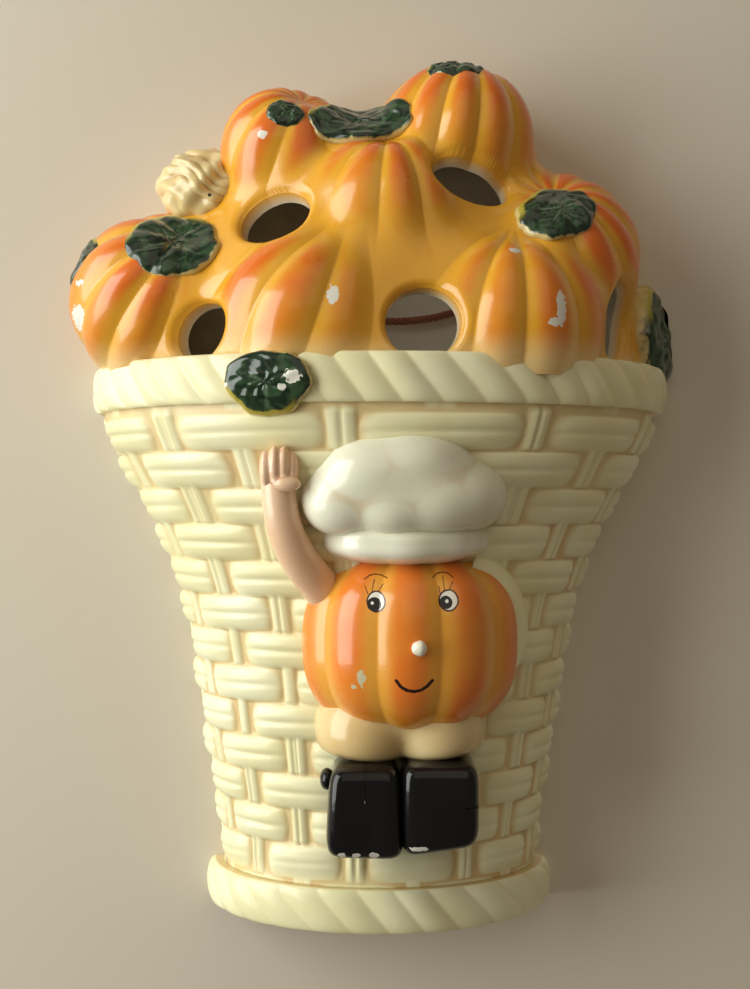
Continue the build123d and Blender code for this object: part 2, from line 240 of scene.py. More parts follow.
line, even = smooth_path(CORD_ROUTE, 320)
along = np.gradient(line, axis=0)
along /= np.linalg.norm(along, axis=1, keepdims=True)
side = np.cross(along, [0.02, 0.03, 1.0])
side /= np.linalg.norm(side, axis=1, keepdims=True)
up = np.cross(along, side)
strands = []
for number in range(STRANDS):
    turn = (2 * math.pi * (even / TWIST + number / STRANDS))[:, None]
    strands.append(tube(line + (side * np.cos(turn) + up * np.sin(turn)) * (CORD / 2 - STRAND), STRAND, 10))
cord = add_piece("cord_strands", joined(strands), twine, ["hanging_cord"])

for end, name in ((0, "cord_knot_left"), (-1, "cord_knot_right")):
    turn = np.linspace(0, 4 * math.pi, 160)
    wide = 1.55 + 0.35 * np.cos(1.5 * turn)
    loops = np.stack([wide * np.cos(turn), -1.7 - 1.1 * np.sin(1.5 * turn), wide * np.sin(turn)], axis=1)
    add_piece(name + "_tied", tube(line[end] + loops, 1.0, 12), twine, [name])

# The woven wall of the basket: paired upright stakes, with flat double strands passed over every
# other one. The pattern is pressed into the mould, and a cream glaze goes on over an ochre wash.
DEPTH_SHARE = 0.70  # depth of the half-ellipse plan, as a share of its half-width
WALL = 4.5
BASKET = [(12, 47.4), (40, 49.6), (70, 54.3), (100, 61.6), (124, 73.2), (145, 83.0)]
TOP_COURSE, COURSE = 141.3, 9.86  # upper edge of the top course, and the height of each
FRONT_STAKE, STAKE_STEP = 98.0, 19.5  # degrees round the half-ellipse
STAKE_HALF = 0.135  # half-width of a pair of stakes, in steps
SINK, PUFF, STAKE_RISE = 1.2, 2.6, 1.3  # depth of the ground, and the rise of strands and stakes
AROUND, PER_COURSE = 420, 16  # points round the plan, and up each course

width_curve = np.polynomial.Polynomial.fit(*np.array(BASKET, float).T, 5)


def hashed(a, b):
    """A steady number from 0 to 1 for each pair of whole numbers: the fraction of a large sine."""
    return np.modf(np.abs(np.sin(a * 12.9898 + b * 78.233) * 43758.5453))[0]


def plan(turn, half_width, z):
    """A point on a half-ellipse: x = w cos t, y = -0.7 w sin t, at height z."""
    across, outward = half_width * np.cos(turn), -DEPTH_SHARE * half_width * np.sin(turn)
    return np.stack(np.broadcast_arrays(across, outward, z), -1)


def weave(turn, z):
    """Height of the weave over its ground, and how much of it is strand or stake, from 0 to 1.

    Courses are counted down from the top and stakes round the plan. A stake shows where their sum
    is even. Between two that show, a double strand swells up by a rounded box in both directions,
    with a groove along its middle.
    """
    stake = (np.degrees(turn) - FRONT_STAKE) / STAKE_STEP
    down = (TOP_COURSE - z) / COURSE
    course = np.floor(down)
    within = down - course
    pad = 2 * np.floor((stake + course) / 2) + 1 - course
    off = stake - pad + 0.10 * (hashed(pad, course) - 0.5)
    lean = 0.10 * (hashed(pad + 7, course + 3) - 0.5)
    within = np.clip(within + lean * off, 0.001, 0.999)
    uneven = 0.15 * hashed(pad + 3, course + 17)
    reach = (1 - STAKE_HALF) * (1.0 - uneven - 0.22 * np.abs(within - 0.5) ** 1.5)
    ends = np.clip(1 - np.abs(off / reach) ** 3.0, 0, 1) ** 0.7
    edges = np.clip(1 - np.abs(2 * within - 1) ** 3.0, 0, 1) ** 0.6
    groove = 1 - (0.20 + 0.16 * hashed(pad + 9, course)) * np.exp(-(((within - 0.5) / 0.07) ** 2))
    height = 1.0 + 0.16 * (hashed(pad, course + 11) - 0.5) + 0.10 * off * (hashed(pad + 5, course) - 0.5)
    strand = ends * edges * groove * height
    near = (1 - np.abs(off)) / STAKE_HALF
    pair = np.clip(1 - near**2 * 0.75, 0, 1) ** 0.6 * (1 - 0.55 * np.exp(-((near / 0.22) ** 2)))
    over = np.clip((z - 12.0) / 6.0, 0, 1) * np.clip((150.0 - z) / 5.0, 0, 1)
    top = down < 0
    rise = np.maximum(PUFF * strand * ~top, STAKE_RISE * pair * ~top)
    return rise * over, np.maximum(strand * ~top, 0.62 * pair)


courses = (TOP_COURSE - 12.0) / COURSE
outer_z = np.concatenate([[145.0, 143.4],
                          TOP_COURSE - COURSE * np.arange(int(courses * PER_COURSE) + 1) / PER_COURSE,
                          [12.0]])
inner_z = np.linspace(12.0, 145.0, 10)
turn = np.linspace(0, math.pi, AROUND)[None, :]
rise, cover = weave(turn, outer_z[:, None])
outside = plan(turn, width_curve(outer_z)[:, None] - SINK + rise, outer_z[:, None])
inside = plan(turn, width_curve(inner_z)[:, None] - WALL, inner_z[:, None])
rings = np.concatenate([outside, inside])
rows = len(rings)
faces = [grid_faces(rows, AROUND)]
last = np.arange(AROUND - 1)
faces.append(np.stack([last + (rows - 1) * AROUND, last + 1 + (rows - 1) * AROUND, last + 1, last], -1))
column = np.arange(rows) * AROUND
half = len(outer_z)
for edge in (0, AROUND - 1):  # the two straight edges at the back, between outside and inside
    out_side = column[:half] + edge
    nearest_row = np.round(np.interp(outer_z, inner_z, np.arange(len(inner_z)))).astype(int)
    match = (half + nearest_row) * AROUND + edge
    stepped = match[1:] != match[:-1]
    ways = -1 if edge else 1
    faces.append(np.stack([out_side[:-1], out_side[1:], match[1:]], -1)[:, ::ways])
    faces.append(np.stack([out_side[:-1], match[1:], match[:-1]], -1)[stepped][:, ::ways])
cover = np.concatenate([cover, np.zeros((len(inner_z), AROUND))])


def group(name, inputs, outputs):
    """An empty node group with named input values and outputs, and its two end nodes."""
    made = bpy.data.node_groups.new(name, "ShaderNodeTree")
    for title, kind, value in inputs:
        socket = made.interface.new_socket(title, in_out="INPUT", socket_type=kind)
        if value is not None:
            socket.default_value = value
    for title, kind in outputs:
        made.interface.new_socket(title, in_out="OUTPUT", socket_type=kind)
    return made, made.nodes.new("NodeGroupInput"), made.nodes.new("NodeGroupOutput")


def mix(tree, share, below, above, kind="MIX"):
    """A colour mix; its result is the returned socket."""
    made = node(tree, "ShaderNodeMix", data_type="RGBA", blend_type=kind, clamp_factor=True)
    for socket, value in ((made.inputs[0], share), (made.inputs[6], below), (made.inputs[7], above)):
        if isinstance(value, bpy.types.NodeSocket):
            tree.links.new(value, socket)
        else:
            socket.default_value = value
    return made.outputs[2]


def span(tree, value, low, high, to_low=0.0, to_high=1.0):
    """Maps a value smoothly from one range to another."""
    return node(tree, "ShaderNodeMapRange", {0: value, 1: low, 2: high, 3: to_low, 4: to_high},
                interpolation_type="SMOOTHSTEP").outputs[0]


def calc(tree, kind, first, second=0.0, third=0.0):
    return node(tree, "ShaderNodeMath", {0: first, 1: second, 2: third}, operation=kind).outputs[0]


# The film of clear glaze: faint waves in its surface, pinholes and dark specks, and a soft cloud
# that every glazed piece uses to vary its colour.
glaze_film, start, end = group("glaze_film", [("Waves", "NodeSocketFloat", 0.5)],
                               [("Height", "NodeSocketFloat"), ("Specks", "NodeSocketFloat"),
                                ("Cloud", "NodeSocketFloat"), ("Roughness", "NodeSocketFloat")])
where = node(glaze_film, "ShaderNodeTexCoord")
waves = node(glaze_film, "ShaderNodeTexNoise",
             {"Vector": where.outputs["Object"], "Scale": 160.0, "Detail": 2.0})
pits = node(glaze_film, "ShaderNodeTexVoronoi", {"Vector": where.outputs["Object"], "Scale": 330.0})
cloud = node(glaze_film, "ShaderNodeTexNoise",
             {"Vector": where.outputs["Object"], "Scale": 42.0, "Detail": 4.0})
specks = node(glaze_film, "ShaderNodeTexVoronoi", {"Vector": where.outputs["Object"], "Scale": 130.0})
size = node(glaze_film, "ShaderNodeSeparateColor", {0: specks.outputs["Color"]})
speck_size = span(glaze_film, size.outputs[0], 0.90, 1.0, 0.0, 0.055)
dot = calc(glaze_film, "LESS_THAN", specks.outputs["Distance"], speck_size)
pinhole = span(glaze_film, pits.outputs["Distance"], 0.0, 0.10, -0.25, 0.0)
height = calc(glaze_film, "MULTIPLY_ADD", waves.outputs["Fac"], start.outputs["Waves"], pinhole)
smear = node(glaze_film, "ShaderNodeTexNoise",
             {"Vector": where.outputs["Object"], "Scale": 75.0, "Detail": 5.0})
for title, value in (("Height", height), ("Specks", dot), ("Cloud", cloud.outputs["Fac"]),
                     ("Roughness", span(glaze_film, smear.outputs["Fac"], 0.35, 0.75, 0.10, 0.24))):
    glaze_film.links.new(value, end.inputs[title])


def glazed(name, paint, waves=0.5, coat=0.35, roughness=0.10, specular=0.45):
    """A glazed material: paint(tree, film, spot) gives its colour; the film gives gloss and relief."""
    made, tree = new_material(name)
    film = node(tree, "ShaderNodeGroup", node_tree=glaze_film)
    film.inputs["Waves"].default_value = waves
    place = node(tree, "ShaderNodeTexCoord").outputs["Object"]
    colour = paint(tree, film, place)
    bump = node(tree, "ShaderNodeBump",
                {"Strength": 0.35, "Distance": 0.0004, "Height": film.outputs["Height"]})
    shader = node(tree, "ShaderNodeBsdfPrincipled",
                  {"Base Color": colour, "Coat Weight": coat, "Coat Roughness": 0.06, "Coat IOR": 1.5,
                   "Normal": bump.outputs["Normal"], "Specular IOR Level": specular})
    rough = film.outputs["Roughness"]
    if roughness:
        rough = calc(tree, "ADD", rough, roughness)
    tree.links.new(rough, shader.inputs["Roughness"])
    node(tree, "ShaderNodeOutputMaterial", {"Surface": shader.outputs[0]})
    return made


def point_value(tree, name):
    return node(tree, "ShaderNodeAttribute", attribute_name=name).outputs["Fac"]


CREAM = (0.82, 0.77, 0.45, 1)
CREAM_LIGHT = (0.88, 0.86, 0.59, 1)
WASH = (0.62, 0.38, 0.11, 1)


def cream_paint(tree, film, place):
    """Cream, lighter in clouds, with an ochre wash left where the relief is low, and dark specks."""
    cream = mix(tree, span(tree, film.outputs["Cloud"], 0.35, 0.7), CREAM, CREAM_LIGHT)
    low = span(tree, point_value(tree, "relief"), 0.03, 0.50, 0.66, 0.0)
    patchy = calc(tree, "MULTIPLY", low, span(tree, film.outputs["Cloud"], 0.25, 0.7, 0.45, 1.15))
    washed = mix(tree, patchy, cream, WASH)
    return mix(tree, calc(tree, "MULTIPLY", film.outputs["Specks"], 0.55), washed, (0.20, 0.12, 0.05, 1))


cream_glaze = glazed("cream_glaze", cream_paint, coat=0.15, roughness=0.20)
add_piece("basket_weave", (rings.reshape(-1, 3), faces), cream_glaze, ["basket_wall"],
          {"relief": cover})

# The rope bands round the rim and the foot: a half-round moulding with slanting grooves, on the
# same plan as the basket, closed at its back.
ROPES = {  # bottom and top, half-width at the wall side of the moulding, bulge, and the bore
    "rim": (143.6, 156.6, 82.4, 2.6, 73.0, "rope_rim"),
    "foot": (0.0, 12.0, 48.4, 2.7, 41.0, "rope_foot"),
}
ROPE_PITCH, ROPE_LEAN, ROPE_CUT = 10.4, -5.0, 1.3  # of its grooves, along the band, and their depth

for name, (low, high, base, bulge, bore, cad_name) in ROPES.items():
    around = 640 if name == "rim" else 400
    turn = np.linspace(0, math.pi, around)
    length = np.concatenate([[0], np.cumsum(np.linalg.norm(np.diff(plan(turn, base, 0.0), axis=0), axis=1))])
    section = np.linspace(-math.pi / 2, math.pi / 2, 36)[:, None]
    middle, rise = (low + high) / 2, (high - low) / 2
    out = np.cos(section) ** 0.75
    z = middle + rise * np.sin(section)
    lean = ROPE_LEAN * np.sin(section) + 0.9 * np.sin(length * 0.11)
    phase = (length + lean) / ROPE_PITCH
    fat = np.abs(np.cos(math.pi * phase)) ** 0.9
    strength = 1.0 if name == "rim" else 0.7
    swell = bulge * out - strength * ROPE_CUT * (1 - fat) * out**0.5 + 0.35 * np.sin(phase * 2.7) * out
    ring = plan(turn, base + swell, z + 0 * turn)
    relief = np.clip(0.35 + 0.65 * fat, 0, 1) * out**0.3 + 0 * turn
    back = [plan(turn, bore, high + 0 * turn), plan(turn, bore, low + 0 * turn)]
    rings = np.concatenate([ring, np.stack(back)])
    relief = np.concatenate([relief, np.full((2, around), 0.5)])
    rows = len(rings)
    lines = np.arange(rows) * around
    here, beside = np.arange(around - 1), np.arange(1, around)
    shut = np.stack([lines[-1] + here, lines[-1] + beside, beside, here], -1)
    quads = [grid_faces(rows, around), shut]
    ends = [lines[None, :], (lines + around - 1)[None, ::-1]]
    add_piece("rope_" + name + "_band", (rings.reshape(-1, 3), quads + ends), cream_glaze,
              [cad_name], {"relief": relief})

# The heap: seven ribbed pumpkins thrown together over a dome, moulded as one hollow skin that is
# pierced while soft. Its surface is followed outwards from a point in the wall plane.
HEART = np.array([0.0, 0.0, 150.0])
DOME = ((0.0, 36.65, 150.0), 91.4)
PUMPKINS = {  # centre, radius, where the crown points, ribs, turn of the ribs, and flatness
    "pumpkin_left": ((-62.5, -16.0, 174.5), 25.5, (0.42, -0.60, 0.68), 11, 0.3, 0.94),
    "pumpkin_front_left": ((-19.0, -33.0, 166.0), 26.0, (0.35, -0.25, 0.90), 11, 0.1, 0.95),
    "pumpkin_front_right": ((35.0, -31.0, 166.0), 26.0, (0.05, -0.28, 0.96), 11, 0.5, 0.95),
    "pumpkin_middle": ((2.0, -28.0, 199.0), 20.5, (0.02, -0.30, 0.95), 10, 0.2, 0.95),
    "pumpkin_top_left": ((-26.0, -18.0, 217.0), 19.0, (0.30, -0.50, 0.80), 10, 0.0, 0.96),
    "pumpkin_top_right": ((22.0, -18.0, 221.0), 22.0, (0.15, -0.12, 0.98), 11, 0.4, 0.96),
    "pumpkin_right": ((49.0, -17.0, 187.0), 25.0, (-0.05, -0.70, 0.70), 11, 0.0, 0.95),
}
RIB, BLEND = 0.068, 3.4  # depth of the ribs as a share of the radius, and width of the joins
HOLES = [  # each piercing's middle, the way its tool came out, its half-axes, and its turn in degrees
    ((-48.6, -40.0, 163.8), (0.05, -1.0, -0.06), (6.4, 8.6), -32.0),
    ((-29.0, -38.0, 195.6), (0.05, -1.0, 0.00), (10.2, 7.4), 26.0),
    ((11.7, -53.6, 164.8), (-0.02, -1.0, -0.08), (10.2, 9.6), 0.0),
    ((25.3, -33.6, 206.2), (-0.04, -1.0, -0.10), (11.2, 5.9), -22.0),
    ((65.0, -26.5, 168.3), (0.62, -0.78, 0.0), (7.6, 11.4), 0.0),
]
LIP = 2.0  # radius of the soft edge of a hole
ACROSS, UPWARD = ((560, 310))


def unit(vectors):
    return vectors / np.linalg.norm(vectors, axis=-1, keepdims=True)


def ribbed(points, ball):
    """Distance outside a ribbed ball, its rib value and how far from the crown, in radians.

    The radius is r (1 + 0.07 (|cos(n a / 2)| - 0.7)), flattened along the crown's axis,
    with a dimple at the crown; a is the angle round the axis.
    """
    centre, radius, crown, ribs, turn, flat = ball
    crown = unit(np.array(crown))
    first = unit(np.cross([0.0, 1.0, 0.0], crown))
    second = np.cross(crown, first)
    away = points - np.array(centre)
    long = np.sqrt(np.einsum("...i,...i->...", away, away)) + 1e-9
    rise = away @ crown / long
    angle = np.arctan2(away @ second, away @ first) + turn
    angle = angle + 0.10 * np.sin(2 * angle + turn * 7)
    rib = np.abs(np.cos(ribs * angle / 2)) ** 1.0
    apart = np.arccos(np.clip(rise, -1, 1))
    spread = np.clip(np.sin(apart), 0, 1) ** 0.8
    size = radius * (1 + RIB * (rib - 0.7) * spread) * (1 - (1 - flat) * rise**2)
    size = size * (1 - 0.15 * np.exp(-((apart / 0.33) ** 2)))
    return long - size, rib, apart


def heap(points, blend=BLEND, parts=False):
    """Distance outside the heap: -k log(sum of exp(-d / k)) over the balls and the dome.

    With parts, also the nearest solid, the nearest ball's rib value and crown angle, and how far
    the skin lies outside that ball, which grows where pumpkins meet each other or the dome.
    """
    distances, ribs, crowns = [], [], []
    for ball in PUMPKINS.values():
        distance, rib, crown = ribbed(points, ball)
        distances.append(distance)
        ribs.append(rib)
        crowns.append(crown)
    away = points - np.array(DOME[0])
    distances.append(np.sqrt(np.einsum("...i,...i->...", away, away)) - DOME[1])
    distances = np.array(distances)
    nearest = distances.min(axis=0)
    joined_up = nearest - blend * np.log(np.exp(-(distances - nearest) / blend).sum(axis=0))
    if not parts:
        return joined_up
    pick = distances[:-1].argmin(axis=0)
    ribs = np.take_along_axis(np.array(ribs), pick[None], 0)[0]
    crowns = np.take_along_axis(np.array(crowns), pick[None], 0)[0]
    return joined_up, distances.argmin(axis=0), ribs, crowns, distances[:-1].min(axis=0) - joined_up


def reach_of(directions, field, far=120.0, near=30.0, origin=HEART):
    """How far along each direction the outermost crossing of a field is: steps in, then halving."""
    outer = np.full(directions.shape[:-1], far)
    inner = np.full(directions.shape[:-1], near)
    found = np.zeros(directions.shape[:-1], bool)
    for distance in np.linspace(far, near, 26)[1:]:
        here = field(origin + directions * distance) < 0
        inner = np.where(here & ~found, distance, inner)
        found |= here
        outer = np.where(found, outer, distance)
    for _ in range(9):
        middle = (outer + inner) / 2
        here = field(origin + directions * middle[..., None]) < 0
        inner, outer = np.where(here, middle, inner), np.where(here, outer, middle)
    return (outer + inner) / 2


def sight(azimuth, rise):
    """A direction from the heart: azimuth runs from +x round the front to -x, rise goes upward."""
    parts = np.cos(azimuth) * np.cos(rise), -np.sin(azimuth) * np.cos(rise), np.sin(rise)
    return np.stack(np.broadcast_arrays(*parts), -1)


def hole_measure(points, centre, way, half, turn):
    """1 on the side of an elliptical piercing, less inside it, and more outside it or behind."""
    way, off = unit(np.array(way)), points - np.array(centre)
    right = unit(np.cross([0.0, 0.0, 1.0], way)) * (1 if way[1] > 0 else -1)
    right = right if right[0] > 0 else -right
    upward = np.cross(right, way)
    upward = upward if upward[2] > 0 else -upward
    c, s = math.cos(math.radians(turn)), math.sin(math.radians(turn))
    u, v = off @ (right * c + upward * s), off @ (upward * c - right * s)
    return np.where(off @ way > -14.0, np.hypot(u / half[0], v / half[1]), 9.0)


azimuth = np.linspace(0, math.pi, ACROSS)[None, :]
rise = np.linspace(math.radians(1.0), math.pi / 2 - 0.004, UPWARD)[:, None]
directions = sight(azimuth, rise).reshape(-1, 3)
radius = reach_of(directions, heap)
index = np.arange(ACROSS * UPWARD).reshape(UPWARD, ACROSS)
pairs = np.concatenate([np.stack([index[:, :-1].ravel(), index[:, 1:].ravel()], -1),
                        np.stack([index[:-1].ravel(), index[1:].ravel()], -1),
                        np.stack([index[:-1, :-1].ravel(), index[1:, 1:].ravel()], -1)])
gone = np.zeros(len(directions), bool)
lip = np.full(len(directions), 9.0)
hole_side = np.zeros(len(directions), bool)
for hole in HOLES:
    measure = hole_measure(HEART + directions * radius[:, None], *hole)
    crossing = pairs[(measure[pairs[:, 0]] < 1) != (measure[pairs[:, 1]] < 1)]
    share = (1 - measure[crossing[:, 0]]) / (measure[crossing[:, 1]] - measure[crossing[:, 0]])
    snapped = np.where(share < 0.5, crossing[:, 0], crossing[:, 1])
    ways = directions[crossing[:, 0]] * (1 - share[:, None]) + directions[crossing[:, 1]] * share[:, None]
    snapped, first = np.unique(snapped, return_index=True)
    directions[snapped] = unit(ways[first])
    radius[snapped] = reach_of(directions[snapped], heap)
    gone |= (measure < 1) & ~np.isin(np.arange(len(measure)), snapped)
    hole_side[snapped] = True
    measure[snapped] = 1.0
    lip = np.minimum(lip, np.maximum(measure - 1, 0) * math.sqrt(hole[2][0] * hole[2][1]))

_, owner, rib, crown, valley = heap(HEART + directions * radius[:, None], parts=True)
soft = np.clip(LIP - lip, 0, LIP)
dropped = radius - (LIP - np.sqrt(LIP**2 - soft**2)) * 0.9
skin_outer = HEART + directions * dropped[:, None]
skin_inner = HEART + directions * (radius - WALL - 0.4)[:, None]
grid = skin_outer.reshape(UPWARD, ACROSS, 3)
skin_normals = unit(np.cross(np.gradient(grid, axis=1), np.gradient(grid, axis=0)).reshape(-1, 3))
skin_normals *= np.sign(np.einsum("ij,ij->i", skin_normals, directions))[:, None]

quads = grid_faces(UPWARD, ACROSS)
triangles = np.concatenate([quads[:, [0, 1, 2]], quads[:, [0, 2, 3]]])
on_edge = hole_side[triangles].all(axis=1)
touched = (gone | hole_side)[quads].any(axis=1)
keep_quads = quads[~touched]
near_holes = np.tile(touched, 2)
keep_triangles = triangles[near_holes & ~gone[triangles].any(axis=1) & ~on_edge]
quad_owner = np.sort(owner[keep_quads], axis=1)[:, 1]
triangle_owner = np.sort(owner[keep_triangles], axis=1)[:, 1]


def skin_piece(name, mine_quads, mine_triangles, material, nodes):
    """A closed piece of the skin: its outer faces, the same faces inside, and a wall round every
    free edge. Outer corners take the smooth normals of the whole heap, so that joins don't show."""
    used = np.unique(np.concatenate([mine_quads.ravel(), mine_triangles.ravel()]))
    renumber = np.full(len(directions), -1)
    renumber[used] = np.arange(len(used))
    q, t = renumber[mine_quads], renumber[mine_triangles]
    edges = np.concatenate([np.stack([f, np.roll(f, -1, axis=1)], -1).reshape(-1, 2) for f in (q, t)])
    key, other = edges[:, 0] * len(used) + edges[:, 1], edges[:, 1] * len(used) + edges[:, 0]
    free = edges[~np.isin(key, other)]
    n = len(used)
    walls = np.stack([free[:, 1], free[:, 0], free[:, 0] + n, free[:, 1] + n], -1)
    points = np.concatenate([skin_outer[used], skin_inner[used]])
    values = {title: np.concatenate([value[used], value[used]]) for title, value in
              (("rib", rib), ("crown", crown), ("valley", valley), ("lip", lip))}
    values["inside"] = np.concatenate([np.zeros(n), np.ones(n)])
    smooth = np.concatenate([skin_normals[used], -skin_normals[used]])

    def corner_normals(faces, corners):
        outs = smooth[corners].copy()
        first = points[faces[4][:, 1]] - points[faces[4][:, 0]]
        second = points[faces[4][:, 2]] - points[faces[4][:, 0]]
        flat = unit(np.cross(first, second) + 1e-12)
        outs[-4 * len(faces[4]):] = np.repeat(flat, 4, axis=0)
        return outs

    return add_piece(name, (points, [q, t, q[:, ::-1] + n, t[:, ::-1] + n, walls]), material,
                     nodes, values, corner_normals)


ORANGE = (0.72, 0.155, 0.012, 1)
YELLOW = (0.76, 0.37, 0.026, 1)
STRAW_YELLOW = (0.88, 0.66, 0.30, 1)
BARE = (0.62, 0.55, 0.42, 1)
WHITE_CLAY = (0.78, 0.76, 0.68, 1)


def chips(tree, place, spots):
    """A mask of chipped places: rough-edged ellipsoids given by centre and half-axes in mm."""
    ragged = node(tree, "ShaderNodeTexNoise", {"Vector": place, "Scale": 900.0, "Detail": 3.0})
    total = None
    for centre, half in spots:
        off = node(tree, "ShaderNodeVectorMath", {0: place, 1: Vector(centre) * MM}, operation="SUBTRACT")
        scaled = node(tree, "ShaderNodeVectorMath", {0: off.outputs[0], 1: [1 / (h * MM) for h in half]},
                      operation="MULTIPLY")
        far = node(tree, "ShaderNodeVectorMath", {0: scaled.outputs[0]}, operation="LENGTH").outputs["Value"]
        far = calc(tree, "ADD", far, calc(tree, "MULTIPLY", ragged.outputs["Fac"], 1.1))
        spot = calc(tree, "LESS_THAN", far, 1.45)
        total = spot if total is None else calc(tree, "MAXIMUM", total, spot)
    return total


PUMPKIN_CHIPS = [
    ((-83.2, -26.0, 169.3), (3.0, 9.0, 3.6)), ((-31.8, -36.1, 217.7), (1.5, 3.0, 1.5)),
    ((-11.9, -57.5, 170.9), (1.7, 3.0, 2.9)), ((35.5, -49.9, 183.8), (1.9, 3.0, 1.0)),
    ((46.6, -54.0, 167.6), (1.5, 4.0, 5.4)), ((44.6, -54.0, 164.2), (2.2, 4.0, 1.6)),
    ((-82.0, -28.0, 178.0), (2.0, 6.0, 1.6)),
]


def pumpkin_paint(tree, film, place):
    """Yellow airbrushed with orange along the ribs, paler towards the rim, bare inside and behind."""
    ribs = span(tree, point_value(tree, "rib"), 0.30, 0.95)
    around = span(tree, point_value(tree, "crown"), 0.35, 1.75, 1.25, 0.5)
    drift = span(tree, film.outputs["Cloud"], 0.30, 0.68, 0.45, 1.3)
    orange = calc(tree, "MULTIPLY", calc(tree, "MULTIPLY", ribs, around), drift)
    join = span(tree, point_value(tree, "valley"), 0.45, 2.1, 1.0, 0.0)
    orange = calc(tree, "MULTIPLY", orange, join)
    hole = span(tree, point_value(tree, "lip"), 0.3, 3.8)
    orange = calc(tree, "MULTIPLY", orange, hole)
    height = node(tree, "ShaderNodeSeparateXYZ", {0: place}).outputs
    paint = mix(tree, orange, YELLOW, ORANGE)
    pale = span(tree, height[2], 0.153, 0.163, 0.85, 0.0)
    paint = mix(tree, pale, paint, STRAW_YELLOW)
    streak = node(tree, "ShaderNodeTexNoise", {"Vector": place, "Scale": 260.0, "Detail": 3.0})
    paint = mix(tree, span(tree, streak.outputs["Fac"], 0.55, 0.8, 0.0, 0.18), paint, (0.70, 0.14, 0.02, 1))
    paint = mix(tree, calc(tree, "MULTIPLY", film.outputs["Specks"], 0.5), paint, (0.12, 0.05, 0.02, 1))
    paint = mix(tree, chips(tree, place, PUMPKIN_CHIPS), paint, WHITE_CLAY)
    bare = calc(tree, "MAXIMUM", point_value(tree, "inside"), span(tree, height[1], -0.0016, -0.0006))
    return mix(tree, bare, paint, BARE)


orange_glaze = glazed("orange_glaze", pumpkin_paint, waves=0.6, coat=0.35, roughness=0.12)
names = list(PUMPKINS) + ["heap_dome"]
for number, name in enumerate(names):
    cad_names = [name, "heap_gaps"] if name == "heap_dome" else [name]
    skin_piece(name + "_skin", keep_quads[quad_owner == number], keep_triangles[triangle_owner == number],
               orange_glaze, cad_names)

# The leaves: flat lobed pats of clay laid on the heap while soft, with veins pressed in, brushed
# dark green over yellow. Each is landed on a smoother skin than the heap's, so it bridges grooves.
LEAVES = {  # its middle, the way it faces, half-axes, turn, lift, lobes, their depth, and softness
    "leaf_left": ((-56.0, -36.7, 188.8), (0.13, -1.0, 0.10), (12.9, 11.0), -3.0, 1.9, 5, 0.05, 5.0),
    "leaf_left_edge": ((-79.8, -20.0, 184.6), (-0.80, -0.55, 0.20), (7.5, 8.2), 0.0, 1.9, 3, 0.05, 5.0),
    "leaf_middle": ((-5.2, -27.0, 222.2), (0.0, -1.0, 0.12), (14.8, 7.8), -3.0, 2.2, 4, 0.06, 5.0),
    "leaf_small": ((-25.6, -36.0, 223.6), (0.0, -1.0, 0.12), (5.6, 4.3), 14.0, 1.7, 3, 0.05, 5.0),
    "leaf_top": ((20.9, -30.0, 238.0), (0.0, -0.62, 0.78), (8.2, 6.0), -6.0, 2.0, 4, 0.06, 5.0),
    "leaf_right": ((47.7, -40.3, 196.0), (0.0, -1.0, 0.08), (11.4, 8.6), -18.0, 2.1, 5, 0.06, 5.0),
    "leaf_right_edge": ((85.2, -9.0, 166.2), (0.84, -0.54, 0.0), (11.6, 16.8), 10.0, 5.8, 4, 0.05, 5.0),
}
LEAF_RINGS, LEAF_AROUND = 30, 150


def leaf_outline(angle, lobes, depth, seed):
    """The share of the half-axes that a leaf reaches at an angle: blunt lobes with small notches."""
    wave = np.abs(np.sin(lobes * angle / 2 + seed)) ** 0.8 - 0.6
    return 0.98 + depth * wave + 0.020 * np.sin(7 * angle + 3 * seed) + 0.012 * np.sin(12 * angle + seed)


def leaf_relief(angle, share, lobes, seed, lift):
    """Height of the top of a leaf: a flat pat with a round edge, less its veins and a few dents.

    Veins run from the middle to each lobe, narrow and deeper towards the middle.
    """
    edge = np.sqrt(np.clip(1 - share**7, 0, 1))
    vein = np.abs(np.sin(lobes * angle / 2 + seed + 1.57)) * (0.15 + share) * 2.6
    veins = np.exp(-(vein**2) / 0.10) * np.clip(1.15 - share, 0, 1)
    dents = 0.16 * np.sin(5 * angle + 9 * share + seed) + 0.12 * np.sin(9 * angle - 14 * share)
    return lift * edge * (1 + 0.35 * dents) - 0.24 * veins * edge + 0.12 * share**2, veins


def leaf_values(share, veins, angle, seed):
    rim = np.clip((share - 0.80) / 0.20, 0, 1)
    low = np.clip(-np.sin(angle + 0.3), 0, 1) * share
    return {"edge": rim + 0 * veins, "vein": veins, "low": low + 0 * veins}


